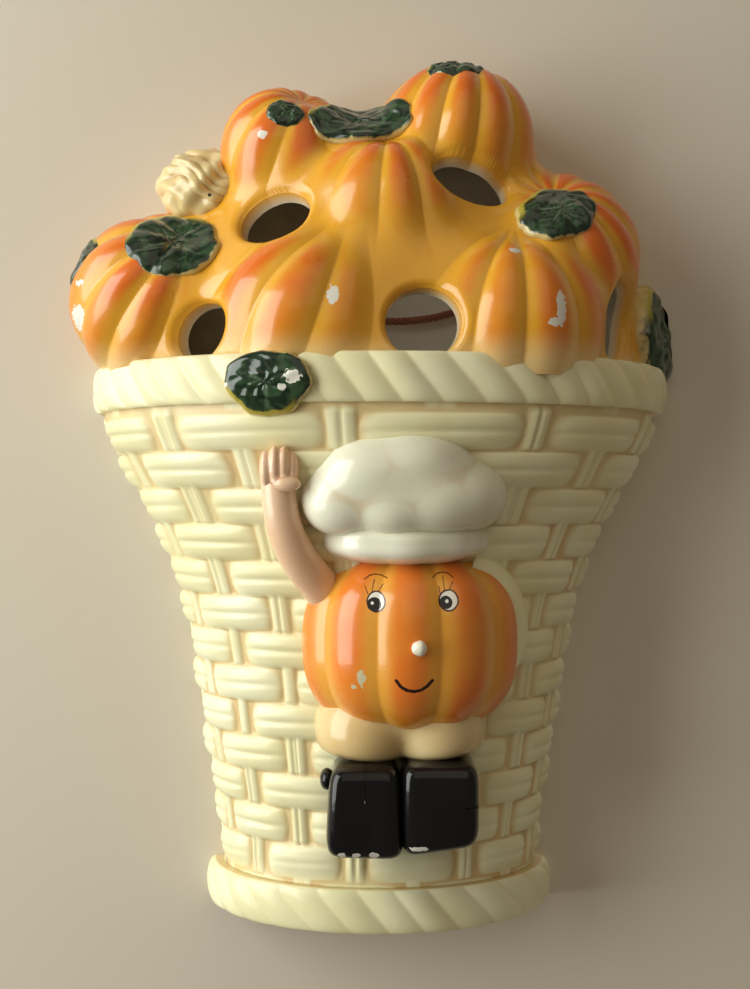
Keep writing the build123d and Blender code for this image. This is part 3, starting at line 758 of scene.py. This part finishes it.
def leaf_paint(tree, film, place):
    """Dark green in brushed streaks, yellow-green on the lower edge, and a pale line at the edge."""
    streak = node(tree, "ShaderNodeTexNoise",
                  {"Vector": place, "Scale": 190.0, "Detail": 5.0, "Distortion": 1.6})
    green = mix(tree, span(tree, streak.outputs["Fac"], 0.38, 0.66),
                (0.006, 0.020, 0.010, 1), (0.032, 0.075, 0.030, 1))
    stroke = calc(tree, "MULTIPLY", span(tree, point_value(tree, "vein"), 0.1, 0.8, 0.0, 0.8),
                  span(tree, streak.outputs["Fac"], 0.35, 0.6))
    green = mix(tree, stroke, green, (0.11, 0.17, 0.10, 1))
    ragged = calc(tree, "MULTIPLY_ADD", streak.outputs["Fac"], 0.8, point_value(tree, "edge"))
    low = calc(tree, "MULTIPLY", span(tree, point_value(tree, "low"), 0.20, 0.6),
               span(tree, ragged, 0.50, 0.85))
    green = mix(tree, low, green, (0.46, 0.38, 0.05, 1))
    pale = span(tree, ragged, 1.12, 1.34, 0.0, 0.85)
    green = mix(tree, pale, green, (0.72, 0.58, 0.24, 1))
    return mix(tree, chips(tree, place, LEAF_CHIPS), green, WHITE_CLAY)


LEAF_CHIPS = [((-21.8, -58.0, 150.0), (2.6, 6.0, 2.2)), ((-39.6, -50.0, 148.2), (1.5, 6.0, 1.2)),
              ((-24.6, -58.0, 147.2), (1.4, 6.0, 1.0))]
leaf_glaze = glazed("leaf_glaze", leaf_paint, waves=0.8, coat=0.4, roughness=0.06)
share = np.concatenate([np.linspace(0.02, 1, LEAF_RINGS), [1.0, 0.9, 0.5, 0.02]])[:, None]
spin = np.linspace(0, 2 * math.pi, LEAF_AROUND, endpoint=False)[None, :]
under = np.zeros(LEAF_RINGS + 4)
under[LEAF_RINGS:] = 1
under = under[:, None] > 0


def pole_caps(rows, columns):
    """The polygons that close the first and last rings of a grid whose sides are joined."""
    ring = np.arange(columns)
    return [ring[None, ::-1], ring[None, :] + (rows - 1) * columns]


def leaf_shape(land, size, turn, lift, lobes, depth, seed):
    """A leaf as a grid of rings, from its middle out over the edge and back underneath."""
    angle = spin + 0 * share
    far = leaf_outline(angle, lobes, depth, seed) * share
    turn = math.radians(turn)
    u, v = size[0] * far * np.cos(angle), size[1] * far * np.sin(angle)
    u, v = u * math.cos(turn) - v * math.sin(turn), u * math.sin(turn) + v * math.cos(turn)
    top, veins = leaf_relief(angle, share, lobes, seed, lift)
    points = land(u, v, np.where(under, -1.4, top))
    rows = len(share)
    return ((points.reshape(-1, 3), [grid_faces(rows, LEAF_AROUND, True)] + pole_caps(rows, LEAF_AROUND)),
            leaf_values(share, veins, angle, seed))


for number, (name, (middle, way, size, turn, lift, lobes, depth, soft)) in enumerate(LEAVES.items()):
    way = unit(np.array(way))
    right = unit(np.cross(way, [0.0, 0.0, 1.0])) * -1.0
    upward = np.cross(way, right) * -1.0

    def land(u, v, height):
        """Drops each point along the way back onto a softened heap, then lifts it by its height."""
        start = np.array(middle) - 24.0 * way + u[..., None] * right + v[..., None] * upward
        ways = np.broadcast_to(way, start.shape)
        skin = lambda points: heap(points, soft) + 0.24 * soft
        found = start + way * reach_of(ways, skin, 44.0, 0.0, start)[..., None]
        out = unit(unit(found - HEART) + way)
        found = found + out * height[..., None]
        found[..., 1] = np.minimum(found[..., 1], -0.2)
        return found

    shape, values = leaf_shape(land, size, turn, lift, lobes, depth, number * 1.7)
    add_piece(name + "_pat", shape, leaf_glaze, [name], values)

RIM_LEAF, RIM_HALF, RIM_LIFT = (-28.6, 148.6), (11.4, 8.6), 1.7
RIM_LEVELS = [(132, 77.0), (139, 80.6), (145, 85.2), (150.5, 87.2), (156, 86.2), (162, 82.0)]


def over_rim(u, v, height):
    """Lands a leaf on the basket's front: the plan at each height, moved out by the leaf's height."""
    z = RIM_LEAF[1] + v
    half = np.interp(z, *np.array(RIM_LEVELS, float).T)
    turn = np.arccos((RIM_LEAF[0] + u) / half)
    out = unit(np.stack([DEPTH_SHARE * np.cos(turn), -np.sin(turn), 0 * turn], -1))
    return plan(turn, half, z) + out * height[..., None]


shape, values = leaf_shape(over_rim, RIM_HALF, -2.0, RIM_LIFT, 3, 0.10, 0.72)
add_piece("leaf_rim_pat", shape, leaf_glaze, ["leaf_rim"], values)

# The tuft of straw at the left: a soft lump combed into coarse stalks, under an ochre wash.
TUFT, TUFT_HALF = np.array([-49.6, -15.0, 207.0]), np.array([13.8, 12.8, 12.0])
rise = np.linspace(-math.pi / 2 + 0.03, math.pi / 2 - 0.03, 90)[:, None]
spin = np.linspace(0, 2 * math.pi, 200, endpoint=False)[None, :]
parts = np.cos(spin) * np.cos(rise), np.sin(rise) + 0 * spin, np.sin(spin) * np.cos(rise)
ball = np.stack(np.broadcast_arrays(*parts), -1)
comb = ball[..., 0] * 5.2 + ball[..., 2] * 7.4
stalks = np.abs(np.sin(comb * 1.2 + 2.4 * np.sin(3.3 * ball[..., 2] + 1.0) * np.sin(ball[..., 0] * 4))) ** 0.8
lumps = (0.5 * np.sin(ball[..., 0] * 7 + 2) * np.sin(ball[..., 2] * 6 + 1)
         + 0.35 * np.sin(ball[..., 1] * 9 + comb))
lumps = lumps + 0.4 * np.sin(ball[..., 0] * 12.0 + 3 * ball[..., 2]) * np.sin(ball[..., 2] * 11.0)
points = TUFT + ball * TUFT_HALF * (0.97 + 0.095 * lumps + 0.045 * (stalks - 0.5))[..., None]
points[..., 1] = np.minimum(points[..., 1], -0.3)
relief = np.clip(0.5 * stalks + 0.45 + 0.5 * lumps, 0, 1)


def straw_paint(tree, film, place):
    """Pale straw with a brown-ochre wash between the stalks."""
    straw = mix(tree, span(tree, film.outputs["Cloud"], 0.3, 0.7),
                (0.66, 0.50, 0.22, 1), (0.78, 0.66, 0.36, 1))
    washed = mix(tree, span(tree, point_value(tree, "relief"), 0.15, 0.8, 0.75, 0.0),
                 straw, (0.42, 0.24, 0.06, 1))
    dark_spot = chips(tree, place, [((-47.3, -27.0, 203.4), (0.7, 3.0, 0.6))])
    return mix(tree, dark_spot, washed, (0.03, 0.02, 0.01, 1))


add_piece("straw_tuft_combed", (points.reshape(-1, 3), [grid_faces(90, 200, True)] + pole_caps(90, 200)),
          glazed("straw_glaze", straw_paint), ["straw_tuft"], {"relief": relief})

# The cook's head: a ribbed pumpkin in relief, with a face painted on its front. The ribs run
# upright, with a groove on each side of the face.
HEAD, HEAD_RADII, HEAD_RIBS, HEAD_TURN = (8.4, -29.5, 80.6), (31.0, 28.6, 25.2), 11, -1.5
NOSE, NOSE_RADIUS = (10.1, -58.4, 81.0), 2.0
WHITE_OF = [((-0.9, 92.5), (2.35, 2.62)), ((17.7, 92.8), (2.50, 2.68))]
PUPILS = [((-1.4, 91.8), 1.86), ((17.0, 92.3), 1.72)]
GLINTS = [((-1.9, 92.1), 0.40), ((17.25, 92.6), 0.46)]
STROKES = [  # polylines on the face, x and z, with a half-width
    ([(-3.9, 98.0), (-2.8, 98.9), (-1.2, 99.3), (0.4, 99.1), (1.9, 98.4)], 0.17),
    ([(13.8, 98.6), (15.0, 99.5), (16.4, 99.8), (17.8, 99.5), (19.0, 98.6)], 0.17),
    ([(-3.8, 96.4), (-3.0, 94.3)], 0.13), ([(-1.4, 97.9), (-2.0, 95.0)], 0.13),
    ([(0.9, 96.8), (-0.5, 94.9)], 0.13), ([(15.2, 96.3), (15.6, 94.6)], 0.13),
    ([(16.4, 98.9), (16.7, 95.4)], 0.13), ([(18.9, 97.4), (17.8, 95.3)], 0.13),
]
SMILE = [(4.2, 72.6), (5.4, 71.0), (7.0, 70.1), (8.8, 69.8), (10.6, 70.2), (12.2, 71.2), (13.4, 72.6)]
HEAD_CHIPS = [((-4.7, -50.0, 72.8), (1.5, 8.0, 3.0)), ((-6.6, -50.0, 70.4), (0.9, 8.0, 0.8))]


def whole_ball(rows, around):
    """Unit directions over a whole ball, poles up and down, as a grid whose sides join."""
    rise = np.linspace(-math.pi / 2 + 0.02, math.pi / 2 - 0.02, rows)[:, None]
    spin = np.linspace(0, 2 * math.pi, around, endpoint=False)[None, :]
    parts = np.cos(spin) * np.cos(rise), np.sin(spin) * np.cos(rise), np.sin(rise)
    return np.stack(np.broadcast_arrays(*parts), -1)


def ball_shape(points):
    rows, around = points.shape[:2]
    return points.reshape(-1, 3), [grid_faces(rows, around, True)] + pole_caps(rows, around)


def flat_distance(tree, place, centre, half):
    """1 on an ellipse in the x and z of the piece, and less inside it."""
    off = node(tree, "ShaderNodeVectorMath", {0: place, 1: (centre[0] * MM, 0, centre[1] * MM)},
               operation="SUBTRACT")
    stretch = (1 / (half[0] * MM), 0, 1 / (half[1] * MM))
    scaled = node(tree, "ShaderNodeVectorMath", {0: off.outputs[0], 1: stretch}, operation="MULTIPLY")
    return node(tree, "ShaderNodeVectorMath", {0: scaled.outputs[0]}, operation="LENGTH").outputs["Value"]


def brushed(tree, place, line, half_width):
    """A mask along a polyline in x and z: the least distance to its runs, with blunt soft ends.

    For each run the share along it is dot(p - a, b - a) / |b - a|^2, held between 0 and 1.
    """
    flat = node(tree, "ShaderNodeVectorMath", {0: place, 1: (1000.0, 0, 1000.0)},
                operation="MULTIPLY").outputs[0]
    least = None
    for (ax, az), (bx, bz) in zip(line, line[1:]):
        run = Vector((bx - ax, 0, bz - az))
        off = node(tree, "ShaderNodeVectorMath", {0: flat, 1: (ax, 0, az)}, operation="SUBTRACT").outputs[0]
        dot = node(tree, "ShaderNodeVectorMath", {0: off, 1: run / run.length_squared},
                   operation="DOT_PRODUCT")
        held = node(tree, "ShaderNodeClamp", {0: dot.outputs["Value"]}).outputs[0]
        foot = node(tree, "ShaderNodeVectorMath", {0: run, 3: held}, operation="SCALE").outputs[0]
        far = node(tree, "ShaderNodeVectorMath", {0: off, 1: foot}, operation="DISTANCE").outputs["Value"]
        least = far if least is None else calc(tree, "MINIMUM", least, far)
    return span(tree, least, half_width * 0.8, half_width * 1.25, 1.0, 0.0)


def face_paint(tree, film, place):
    """Orange over yellow along the ribs; white eyes with dark outlines, black pupils with glints,
    thin brown brows and lashes, and a dark smile; a chip on the left cheek."""
    ribs = span(tree, point_value(tree, "rib"), 0.25, 0.95)
    drift = span(tree, film.outputs["Cloud"], 0.28, 0.70, 0.55, 1.15)
    paint = mix(tree, calc(tree, "MULTIPLY", ribs, drift), (0.80, 0.36, 0.045, 1), (0.78, 0.20, 0.022, 1))
    height = node(tree, "ShaderNodeSeparateXYZ", {0: place}).outputs
    paint = mix(tree, span(tree, height[2], 0.0555, 0.064, 0.65, 0.0), paint, YELLOW)
    ink, dark = (0.055, 0.010, 0.006, 1), (0.006, 0.004, 0.005, 1)
    wobble = node(tree, "ShaderNodeTexNoise", {"Vector": place, "Scale": 700.0})
    shift = node(tree, "ShaderNodeVectorMath", {0: wobble.outputs["Color"], 1: (0.5, 0.5, 0.5)},
                 operation="SUBTRACT")
    shift = node(tree, "ShaderNodeVectorMath", {0: shift.outputs[0], 3: 0.00028}, operation="SCALE")
    hand = node(tree, "ShaderNodeVectorMath", {0: place, 1: shift.outputs[0]}).outputs[0]
    front = calc(tree, "LESS_THAN", height[1], -0.045)
    for line, half_width in STROKES:
        mark = calc(tree, "MULTIPLY", brushed(tree, hand, line, half_width), front)
        paint = mix(tree, calc(tree, "MULTIPLY", mark, 0.9), paint, (0.10, 0.022, 0.008, 1))
    for centre, half in WHITE_OF:
        far = flat_distance(tree, hand, centre, half)
        paint = mix(tree, calc(tree, "MULTIPLY", span(tree, far, 1.02, 1.09, 1.0, 0.0), front), paint, ink)
        paint = mix(tree, calc(tree, "MULTIPLY", span(tree, far, 0.86, 0.92, 1.0, 0.0), front), paint,
                    (0.86, 0.83, 0.72, 1))
    for centre, radius in PUPILS:
        far = flat_distance(tree, hand, centre, (radius, radius))
        paint = mix(tree, calc(tree, "MULTIPLY", span(tree, far, 0.94, 1.02, 1.0, 0.0), front), paint, dark)
    for centre, radius in GLINTS:
        far = flat_distance(tree, hand, centre, (radius, radius))
        paint = mix(tree, calc(tree, "MULTIPLY", span(tree, far, 0.85, 1.1, 1.0, 0.0), front), paint,
                    (0.88, 0.86, 0.80, 1))
    smile = calc(tree, "MULTIPLY", brushed(tree, hand, SMILE, 0.42), front)
    paint = mix(tree, smile, paint, (0.020, 0.004, 0.003, 1))
    return mix(tree, chips(tree, place, HEAD_CHIPS), paint, (0.60, 0.56, 0.36, 1))


ball = whole_ball(200, 420)
angle = np.arctan2(ball[..., 0], -ball[..., 1]) - math.radians(HEAD_TURN)
rib = np.abs(np.cos(HEAD_RIBS * angle / 2)) ** 1.1
flat = np.sqrt(1 - np.clip(ball[..., 2], -0.9999, 0.9999) ** 2)
from_crown = np.arccos(np.clip(ball[..., 2], -1, 1))
fat = 1 + 0.045 * (rib - 0.8) * flat**0.8 - 0.10 * np.exp(-((from_crown / 0.35) ** 2))
squared = (np.abs(ball[..., 2]) ** 2.7 + flat**2.7) ** (-1 / 2.7)
points = np.array(HEAD) + ball * np.array(HEAD_RADII) * (fat * squared * 0.985)[..., None]
face_glaze = glazed("face_glaze", face_paint, waves=0.5, coat=0.35, roughness=0.10)
add_piece("cook_head", ball_shape(points), face_glaze, ["chef_head"], {"rib": rib})


def white_paint(tree, film, place):
    """Warm white, greener where the glaze lies thick, with a thin ochre wash in the creases."""
    white = mix(tree, span(tree, film.outputs["Cloud"], 0.35, 0.7),
                (0.80, 0.79, 0.62, 1), (0.88, 0.87, 0.73, 1))
    low = span(tree, point_value(tree, "relief"), 0.1, 0.8, 0.38, 0.0)
    return mix(tree, low, white, (0.60, 0.38, 0.15, 1))


white_glaze = glazed("white_glaze", white_paint)
ball = whole_ball(40, 60)
points = np.array(NOSE) + ball * NOSE_RADIUS * (1 + 0.03 * np.sin(ball[..., :1] * 5))
add_piece("cook_nose", ball_shape(points), white_glaze, ["chef_nose"],
          {"relief": np.full(ball.shape[:2], 0.9)})

# The cook's hat: a soft crown of several billows over a low band, its creases washed with ochre.
BILLOWS = [  # centres and half-axes of the billows of the crown
    ((6.0, -42.0, 123.2), (21.5, 17.0, 13.2)), ((-11.5, -42.0, 119.0), (10.2, 13.0, 9.6)),
    ((-3.0, -47.0, 125.6), (12.4, 12.5, 9.8)), ((9.0, -46.0, 128.4), (14.5, 13.0, 9.6)),
    ((23.0, -43.0, 119.5), (10.8, 13.5, 9.2)), ((15.0, -49.5, 118.0), (10.5, 9.5, 8.2)),
    ((3.5, -50.5, 115.6), (8.6, 8.0, 6.6)), ((-10.0, -50.0, 116.0), (7.4, 6.2, 6.2)),
]
HAT_HEART = np.array([6.0, -42.0, 121.0])
BILLOW_BLEND = 1.5


def billowed(balls, blend):
    """A field: distance outside several ellipsoids, blended as the heap's balls are."""

    def field(points, parts=False):
        distances = []
        for centre, half in balls:
            scaled = (points - np.array(centre)) / np.array(half)
            distances.append((np.linalg.norm(scaled, axis=-1) - 1) * min(half))
        distances = np.array(distances)
        nearest = distances.min(axis=0)
        blended = nearest - blend * np.log(np.exp(-(distances - nearest) / blend).sum(axis=0))
        return (blended, nearest - blended) if parts else blended

    return field


def moulded(name, field, heart, size, material, nodes, blend, rows=150, around=260, lowest=None):
    """A closed piece that follows a field out from a heart, with its creases marked for the wash."""
    ways = whole_ball(rows, around)
    reach = reach_of(ways, field, far=size, near=0.5, origin=heart)
    points = heart + ways * reach[..., None]
    _, crease = field(points, parts=True)
    if lowest is not None:
        points[..., 2] = np.maximum(points[..., 2], lowest(points))
    relief = 1 - np.clip((crease - 0.55 * blend) / (blend * 0.8), 0, 1)
    return add_piece(name, ball_shape(points), material, nodes, {"relief": relief})


moulded("hat_crown_billows", billowed(BILLOWS, BILLOW_BLEND), HAT_HEART, 45.0, white_glaze,
        ["hat_crown"], BILLOW_BLEND)

BAND, BAND_HALF = np.array([6.4, -37.5, 107.4]), (23.0, 19.0, 5.6)
ball = whole_ball(60, 260)
flat = np.sqrt(1 - np.clip(ball[..., 2], -0.9999, 0.9999) ** 2)
squared = (np.abs(ball[..., 2]) ** 3.2 + flat**3.2) ** (-1 / 3.2)
pleat = 1 + 0.012 * np.sin(np.arctan2(ball[..., 0], -ball[..., 1]) * 9 + 1.0)
points = BAND + ball * np.array(BAND_HALF) * (squared * pleat)[..., None]
points[..., 2] += 0.0025 * (points[..., 0] - BAND[0]) ** 2 - 0.5
add_piece("hat_band_ring", ball_shape(points), white_glaze, ["hat_band"],
          {"relief": np.clip(0.9 - 0.7 * (ball[..., 2] > 0.6), 0, 1)})

# The arms: rolled clay, thick at the shoulder. The left one is raised with a fist of four fingers
# and a thumb; the right one is bent with its hand on the hip.
RAISED_ARM = [(-12.0, -36.0, 90.0), (-16.0, -41.0, 96.0), (-20.5, -45.0, 101.5), (-24.3, -48.0, 109.0),
              (-26.2, -49.0, 117.0), (-26.4, -49.5, 124.0)]
BENT_ARM = [(24.0, -37.0, 100.0), (31.5, -36.5, 97.0), (36.0, -34.5, 86.0), (34.6, -35.0, 76.0),
            (29.0, -40.0, 71.0)]
FIST = [  # the palm, four fingers and the thumb: centres and half-axes
    ((-26.4, -49.2, 125.2), (4.9, 4.4, 5.6)), ((-29.6, -52.6, 127.0), (1.45, 2.4, 4.3)),
    ((-27.1, -53.0, 127.8), (1.45, 2.6, 4.7)), ((-24.6, -52.8, 127.8), (1.45, 2.6, 4.6)),
    ((-22.3, -51.9, 126.8), (1.40, 2.4, 4.0)), ((-23.6, -54.0, 122.6), (3.4, 1.9, 1.9)),
]
HAND = [((29.0, -40.4, 71.0), (4.4, 4.2, 4.4)), ((26.4, -43.6, 72.8), (3.4, 1.5, 1.3)),
        ((26.2, -43.9, 70.6), (3.6, 1.5, 1.3)), ((26.5, -43.5, 68.4), (3.2, 1.5, 1.2))]


def flesh_paint(tree, film, place):
    """Pale flesh pink, redder in the creases between the fingers."""
    flesh = mix(tree, span(tree, film.outputs["Cloud"], 0.3, 0.7),
                (0.80, 0.50, 0.31, 1), (0.86, 0.62, 0.42, 1))
    creases = span(tree, point_value(tree, "relief"), 0.1, 0.7, 0.7, 0.0)
    return mix(tree, creases, flesh, (0.45, 0.17, 0.07, 1))


def arm_piece(name, route, radii, fist, material, cad_name):
    """An arm's tube with its hand, as two closed shells that cross inside the clay."""
    line, even = smooth_path(route, 90)
    arm = tube(line, np.interp(even / even[-1], *radii), 40)
    heart = np.array(fist[0][0])
    field = billowed(fist, 0.45)
    ways = whole_ball(110, 160)
    hand_points = heart + ways * reach_of(ways, field, far=16.0, near=0.5, origin=heart)[..., None]
    _, crease = field(hand_points, parts=True)
    relief = np.concatenate([np.ones(len(arm[0])), 1 - np.clip(crease.ravel() / 0.5, 0, 1)])
    add_piece(name, joined([arm, ball_shape(hand_points)]), material, [cad_name], {"relief": relief})


arm_piece("raised_arm_rolled", RAISED_ARM, ((0, 0.35, 0.75, 1), (5.6, 5.1, 4.7, 4.6)), FIST,
          glazed("skin_glaze", flesh_paint), "raised_arm")
arm_piece("bent_arm_rolled", BENT_ARM, ((0, 0.5, 1), (5.4, 5.1, 4.6)), HAND, cream_glaze,
          "bent_arm")

# The shorts: two short legs gathered under the head, under a thin tan wash.
SHORTS = [((-4.2, -33.5, 55.5), (13.2, 15.0, 13.5)), ((16.0, -33.5, 55.5), (12.6, 15.0, 13.5)),
          ((6.0, -33.0, 60.0), (22.0, 13.5, 8.0))]


def shorts_field(points, parts=False):
    """The blended legs, cut off softly by a level plane below."""
    inner, crease = billowed(SHORTS, 1.1)(points, parts=True)
    hem = 48.4 + 0.10 * np.abs(points[..., 0] - 4.0) - points[..., 2]
    cut = np.maximum(inner, hem) + 0.9 * np.exp(-np.abs(inner - hem) / 1.2)
    return (cut, crease) if parts else cut


def tan_paint(tree, film, place):
    tan = mix(tree, span(tree, film.outputs["Cloud"], 0.3, 0.7), (0.70, 0.50, 0.22, 1), (0.80, 0.66, 0.38, 1))
    return mix(tree, span(tree, point_value(tree, "relief"), 0.1, 0.8, 0.65, 0.0), tan, (0.40, 0.20, 0.05, 1))


moulded("shorts_moulded", shorts_field, np.array([6.0, -37.0, 57.0]), 32.0, glazed("tan_glaze", tan_paint),
        ["shorts"], 1.1)

# The boots: two blunt blocks in black glaze, worn white along the lower edge, and a small tab.
BOOTS = {  # middle, half-sizes, and how far the sole rises to the right, per millimetre
    "boot_left": ((-3.9, -40.5, 37.0), (9.9, 12.0, 12.2), -0.03),
    "boot_right": ((15.8, -40.5, 38.2), (10.3, 12.0, 11.6), 0.14),
}
BOOT_CHIPS = [((-9.8, -51.0, 26.6), (1.2, 6.0, 0.8)), ((-6.1, -51.0, 26.5), (1.3, 6.0, 0.8)),
              ((-1.5, -51.0, 26.6), (1.4, 6.0, 0.9)), ((10.2, -51.0, 28.3), (3.2, 6.0, 0.7))]


def black_paint(tree, film, place):
    black = mix(tree, span(tree, film.outputs["Cloud"], 0.3, 0.7),
                (0.003, 0.003, 0.004, 1), (0.006, 0.006, 0.007, 1))
    return mix(tree, chips(tree, place, BOOT_CHIPS), black, (0.74, 0.73, 0.68, 1))


black_glaze = glazed("black_glaze", black_paint, waves=0.9, coat=0.45, roughness=0.0, specular=0.2)
for name, (middle, half, tilt) in BOOTS.items():
    ball = whole_ball(120, 200)
    power = 6.0
    size = (np.abs(ball) ** power).sum(axis=-1) ** (-1 / power)
    dent = 1 - 0.02 * np.exp(-((ball[..., 0] - 0.15) ** 2 + (ball[..., 2] + 0.35) ** 2) / 0.03)
    points = np.array(middle) + ball * np.array(half) * (size * dent)[..., None]
    points[..., 2] += tilt * (points[..., 0] - middle[0]) * (points[..., 2] < middle[2])
    side = np.sign(points[..., 0] - middle[0])
    points[..., 0] += 0.05 * (middle[2] - points[..., 2]) * side * (name == "boot_left")
    add_piece(name + "_blunt", ball_shape(points), black_glaze, [name])
ball = whole_ball(40, 60)
points = np.array([-14.0, -42.5, 44.4]) + ball * np.array([1.9, 3.4, 2.9])
add_piece("boot_tab_loop", ball_shape(points), black_glaze, ["boot_tab"])

# The back: a flat slab luted in behind, set in from the wall by the height of the lip that the
# basket and the heap leave round it, with a round opening and two holes for the cord. Bare clay.
BACK_FRONT, BACK_REAR = -9.0, -5.0
OPENING = (4.0, 171.5, 25.0, 19.0)
CORD_HOLES, CORD_HOLE = [(-30.0, 181.8), (34.0, 179.5)], 2.0
BACK_AROUND, BACK_RINGS = 720, 12


def clay_paint(tree, place):
    """Bare buff clay: clouds, fine grain and finger drags."""
    cloud = node(tree, "ShaderNodeTexNoise", {"Vector": place, "Scale": 55.0, "Detail": 6.0})
    grain = node(tree, "ShaderNodeTexNoise", {"Vector": place, "Scale": 1400.0, "Detail": 3.0})
    clay = mix(tree, span(tree, cloud.outputs["Fac"], 0.3, 0.7), (0.56, 0.48, 0.35, 1), (0.70, 0.63, 0.49, 1))
    clay = mix(tree, span(tree, grain.outputs["Fac"], 0.60, 0.75, 0.0, 0.35), clay, (0.38, 0.30, 0.20, 1))
    drag = node(tree, "ShaderNodeTexNoise",
                {"Vector": place, "Scale": 210.0, "Detail": 2.0, "Distortion": 0.8})
    return clay, calc(tree, "MULTIPLY_ADD", grain.outputs["Fac"], 0.35, drag.outputs["Fac"])


bare_clay, tree = new_material("bare_clay")
place = node(tree, "ShaderNodeTexCoord").outputs["Object"]
clay, height = clay_paint(tree, place)
bump = node(tree, "ShaderNodeBump", {"Strength": 0.5, "Distance": 0.0004, "Height": height})
clay_shader = node(tree, "ShaderNodeBsdfPrincipled", {"Base Color": clay, "Roughness": 0.85,
                                                      "Normal": bump.outputs["Normal"]})
node(tree, "ShaderNodeOutputMaterial", {"Surface": clay_shader.outputs[0]})

ways = np.linspace(0.0, math.pi, 400)
ways = np.stack([np.cos(ways), np.full(400, -0.045), np.sin(ways)], -1)
ways = unit(ways)
inner = HEART + ways * (reach_of(ways, heap) - 2.6)[:, None]
inner = inner[inner[:, 2] > 151.0]
down = np.linspace(150.0, 2.5, 120)
half_width = np.where(down > 12, width_curve(np.maximum(down, 12.0)), 47.8) - 2.6
loop = np.concatenate([inner[:, [0, 2]], np.stack([-half_width, down], -1),
                       np.stack([np.linspace(-44.8, 44.8, 30)[1:-1], np.full(28, 2.5)], -1),
                       np.stack([half_width, down], -1)[::-1]])
around_opening = np.arctan2(loop[:, 1] - OPENING[1], loop[:, 0] - OPENING[0])
order = np.argsort(around_opening)
angle = np.linspace(-math.pi, math.pi, BACK_AROUND, endpoint=False)
edge = np.stack([np.interp(angle, around_opening[order], loop[order, k], period=2 * math.pi)
                 for k in (0, 1)], -1)
mouth = np.stack([OPENING[0] + OPENING[2] * np.cos(angle), OPENING[1] + OPENING[3] * np.sin(angle)], -1)
share = np.linspace(0, 1, BACK_RINGS)[:, None, None] ** 1.3
sheet = mouth * (1 - share) + edge * share
front = np.insert(sheet, 1, BACK_FRONT, axis=-1)
rear = np.insert(sheet, 1, BACK_REAR, axis=-1)
rings = np.concatenate([front, rear[::-1]])
rows = len(rings)
ring = np.arange(BACK_AROUND)
close = np.stack([ring + (rows - 1) * BACK_AROUND, (ring + 1) % BACK_AROUND + (rows - 1) * BACK_AROUND,
                  (ring + 1) % BACK_AROUND, ring], -1)
back = add_piece("back_slab", (rings.reshape(-1, 3), [grid_faces(rows, BACK_AROUND, True), close]), bare_clay,
                 ["back_plate"])
punches = []
for x, z in CORD_HOLES:
    turn = np.linspace(0, 2 * math.pi, 40, endpoint=False)
    ringed = np.stack([x + CORD_HOLE * np.cos(turn), 0 * turn, z + CORD_HOLE * np.sin(turn)], -1)
    stack = np.stack([ringed - [0, 12.0, 0], ringed - [0, 2.0, 0]])
    punches.append((stack.reshape(-1, 3), [grid_faces(2, 40, True)] + pole_caps(2, 40)))
punch = add_piece("punch", joined(punches), bare_clay)
cut = back.modifiers.new("cord_holes", "BOOLEAN")
cut.operation, cut.object, cut.solver = "DIFFERENCE", punch, "EXACT"
bpy.context.view_layer.update()
pierced = bpy.data.meshes.new_from_object(back.evaluated_get(bpy.context.evaluated_depsgraph_get()))
back.modifiers.clear()
back.data = pierced
bpy.data.objects.remove(punch)
pierced.polygons.foreach_set("use_smooth", np.zeros(len(pierced.polygons), bool))

base = bpy.data.objects["base_plate"]
base.material_slots[0].material = bare_clay
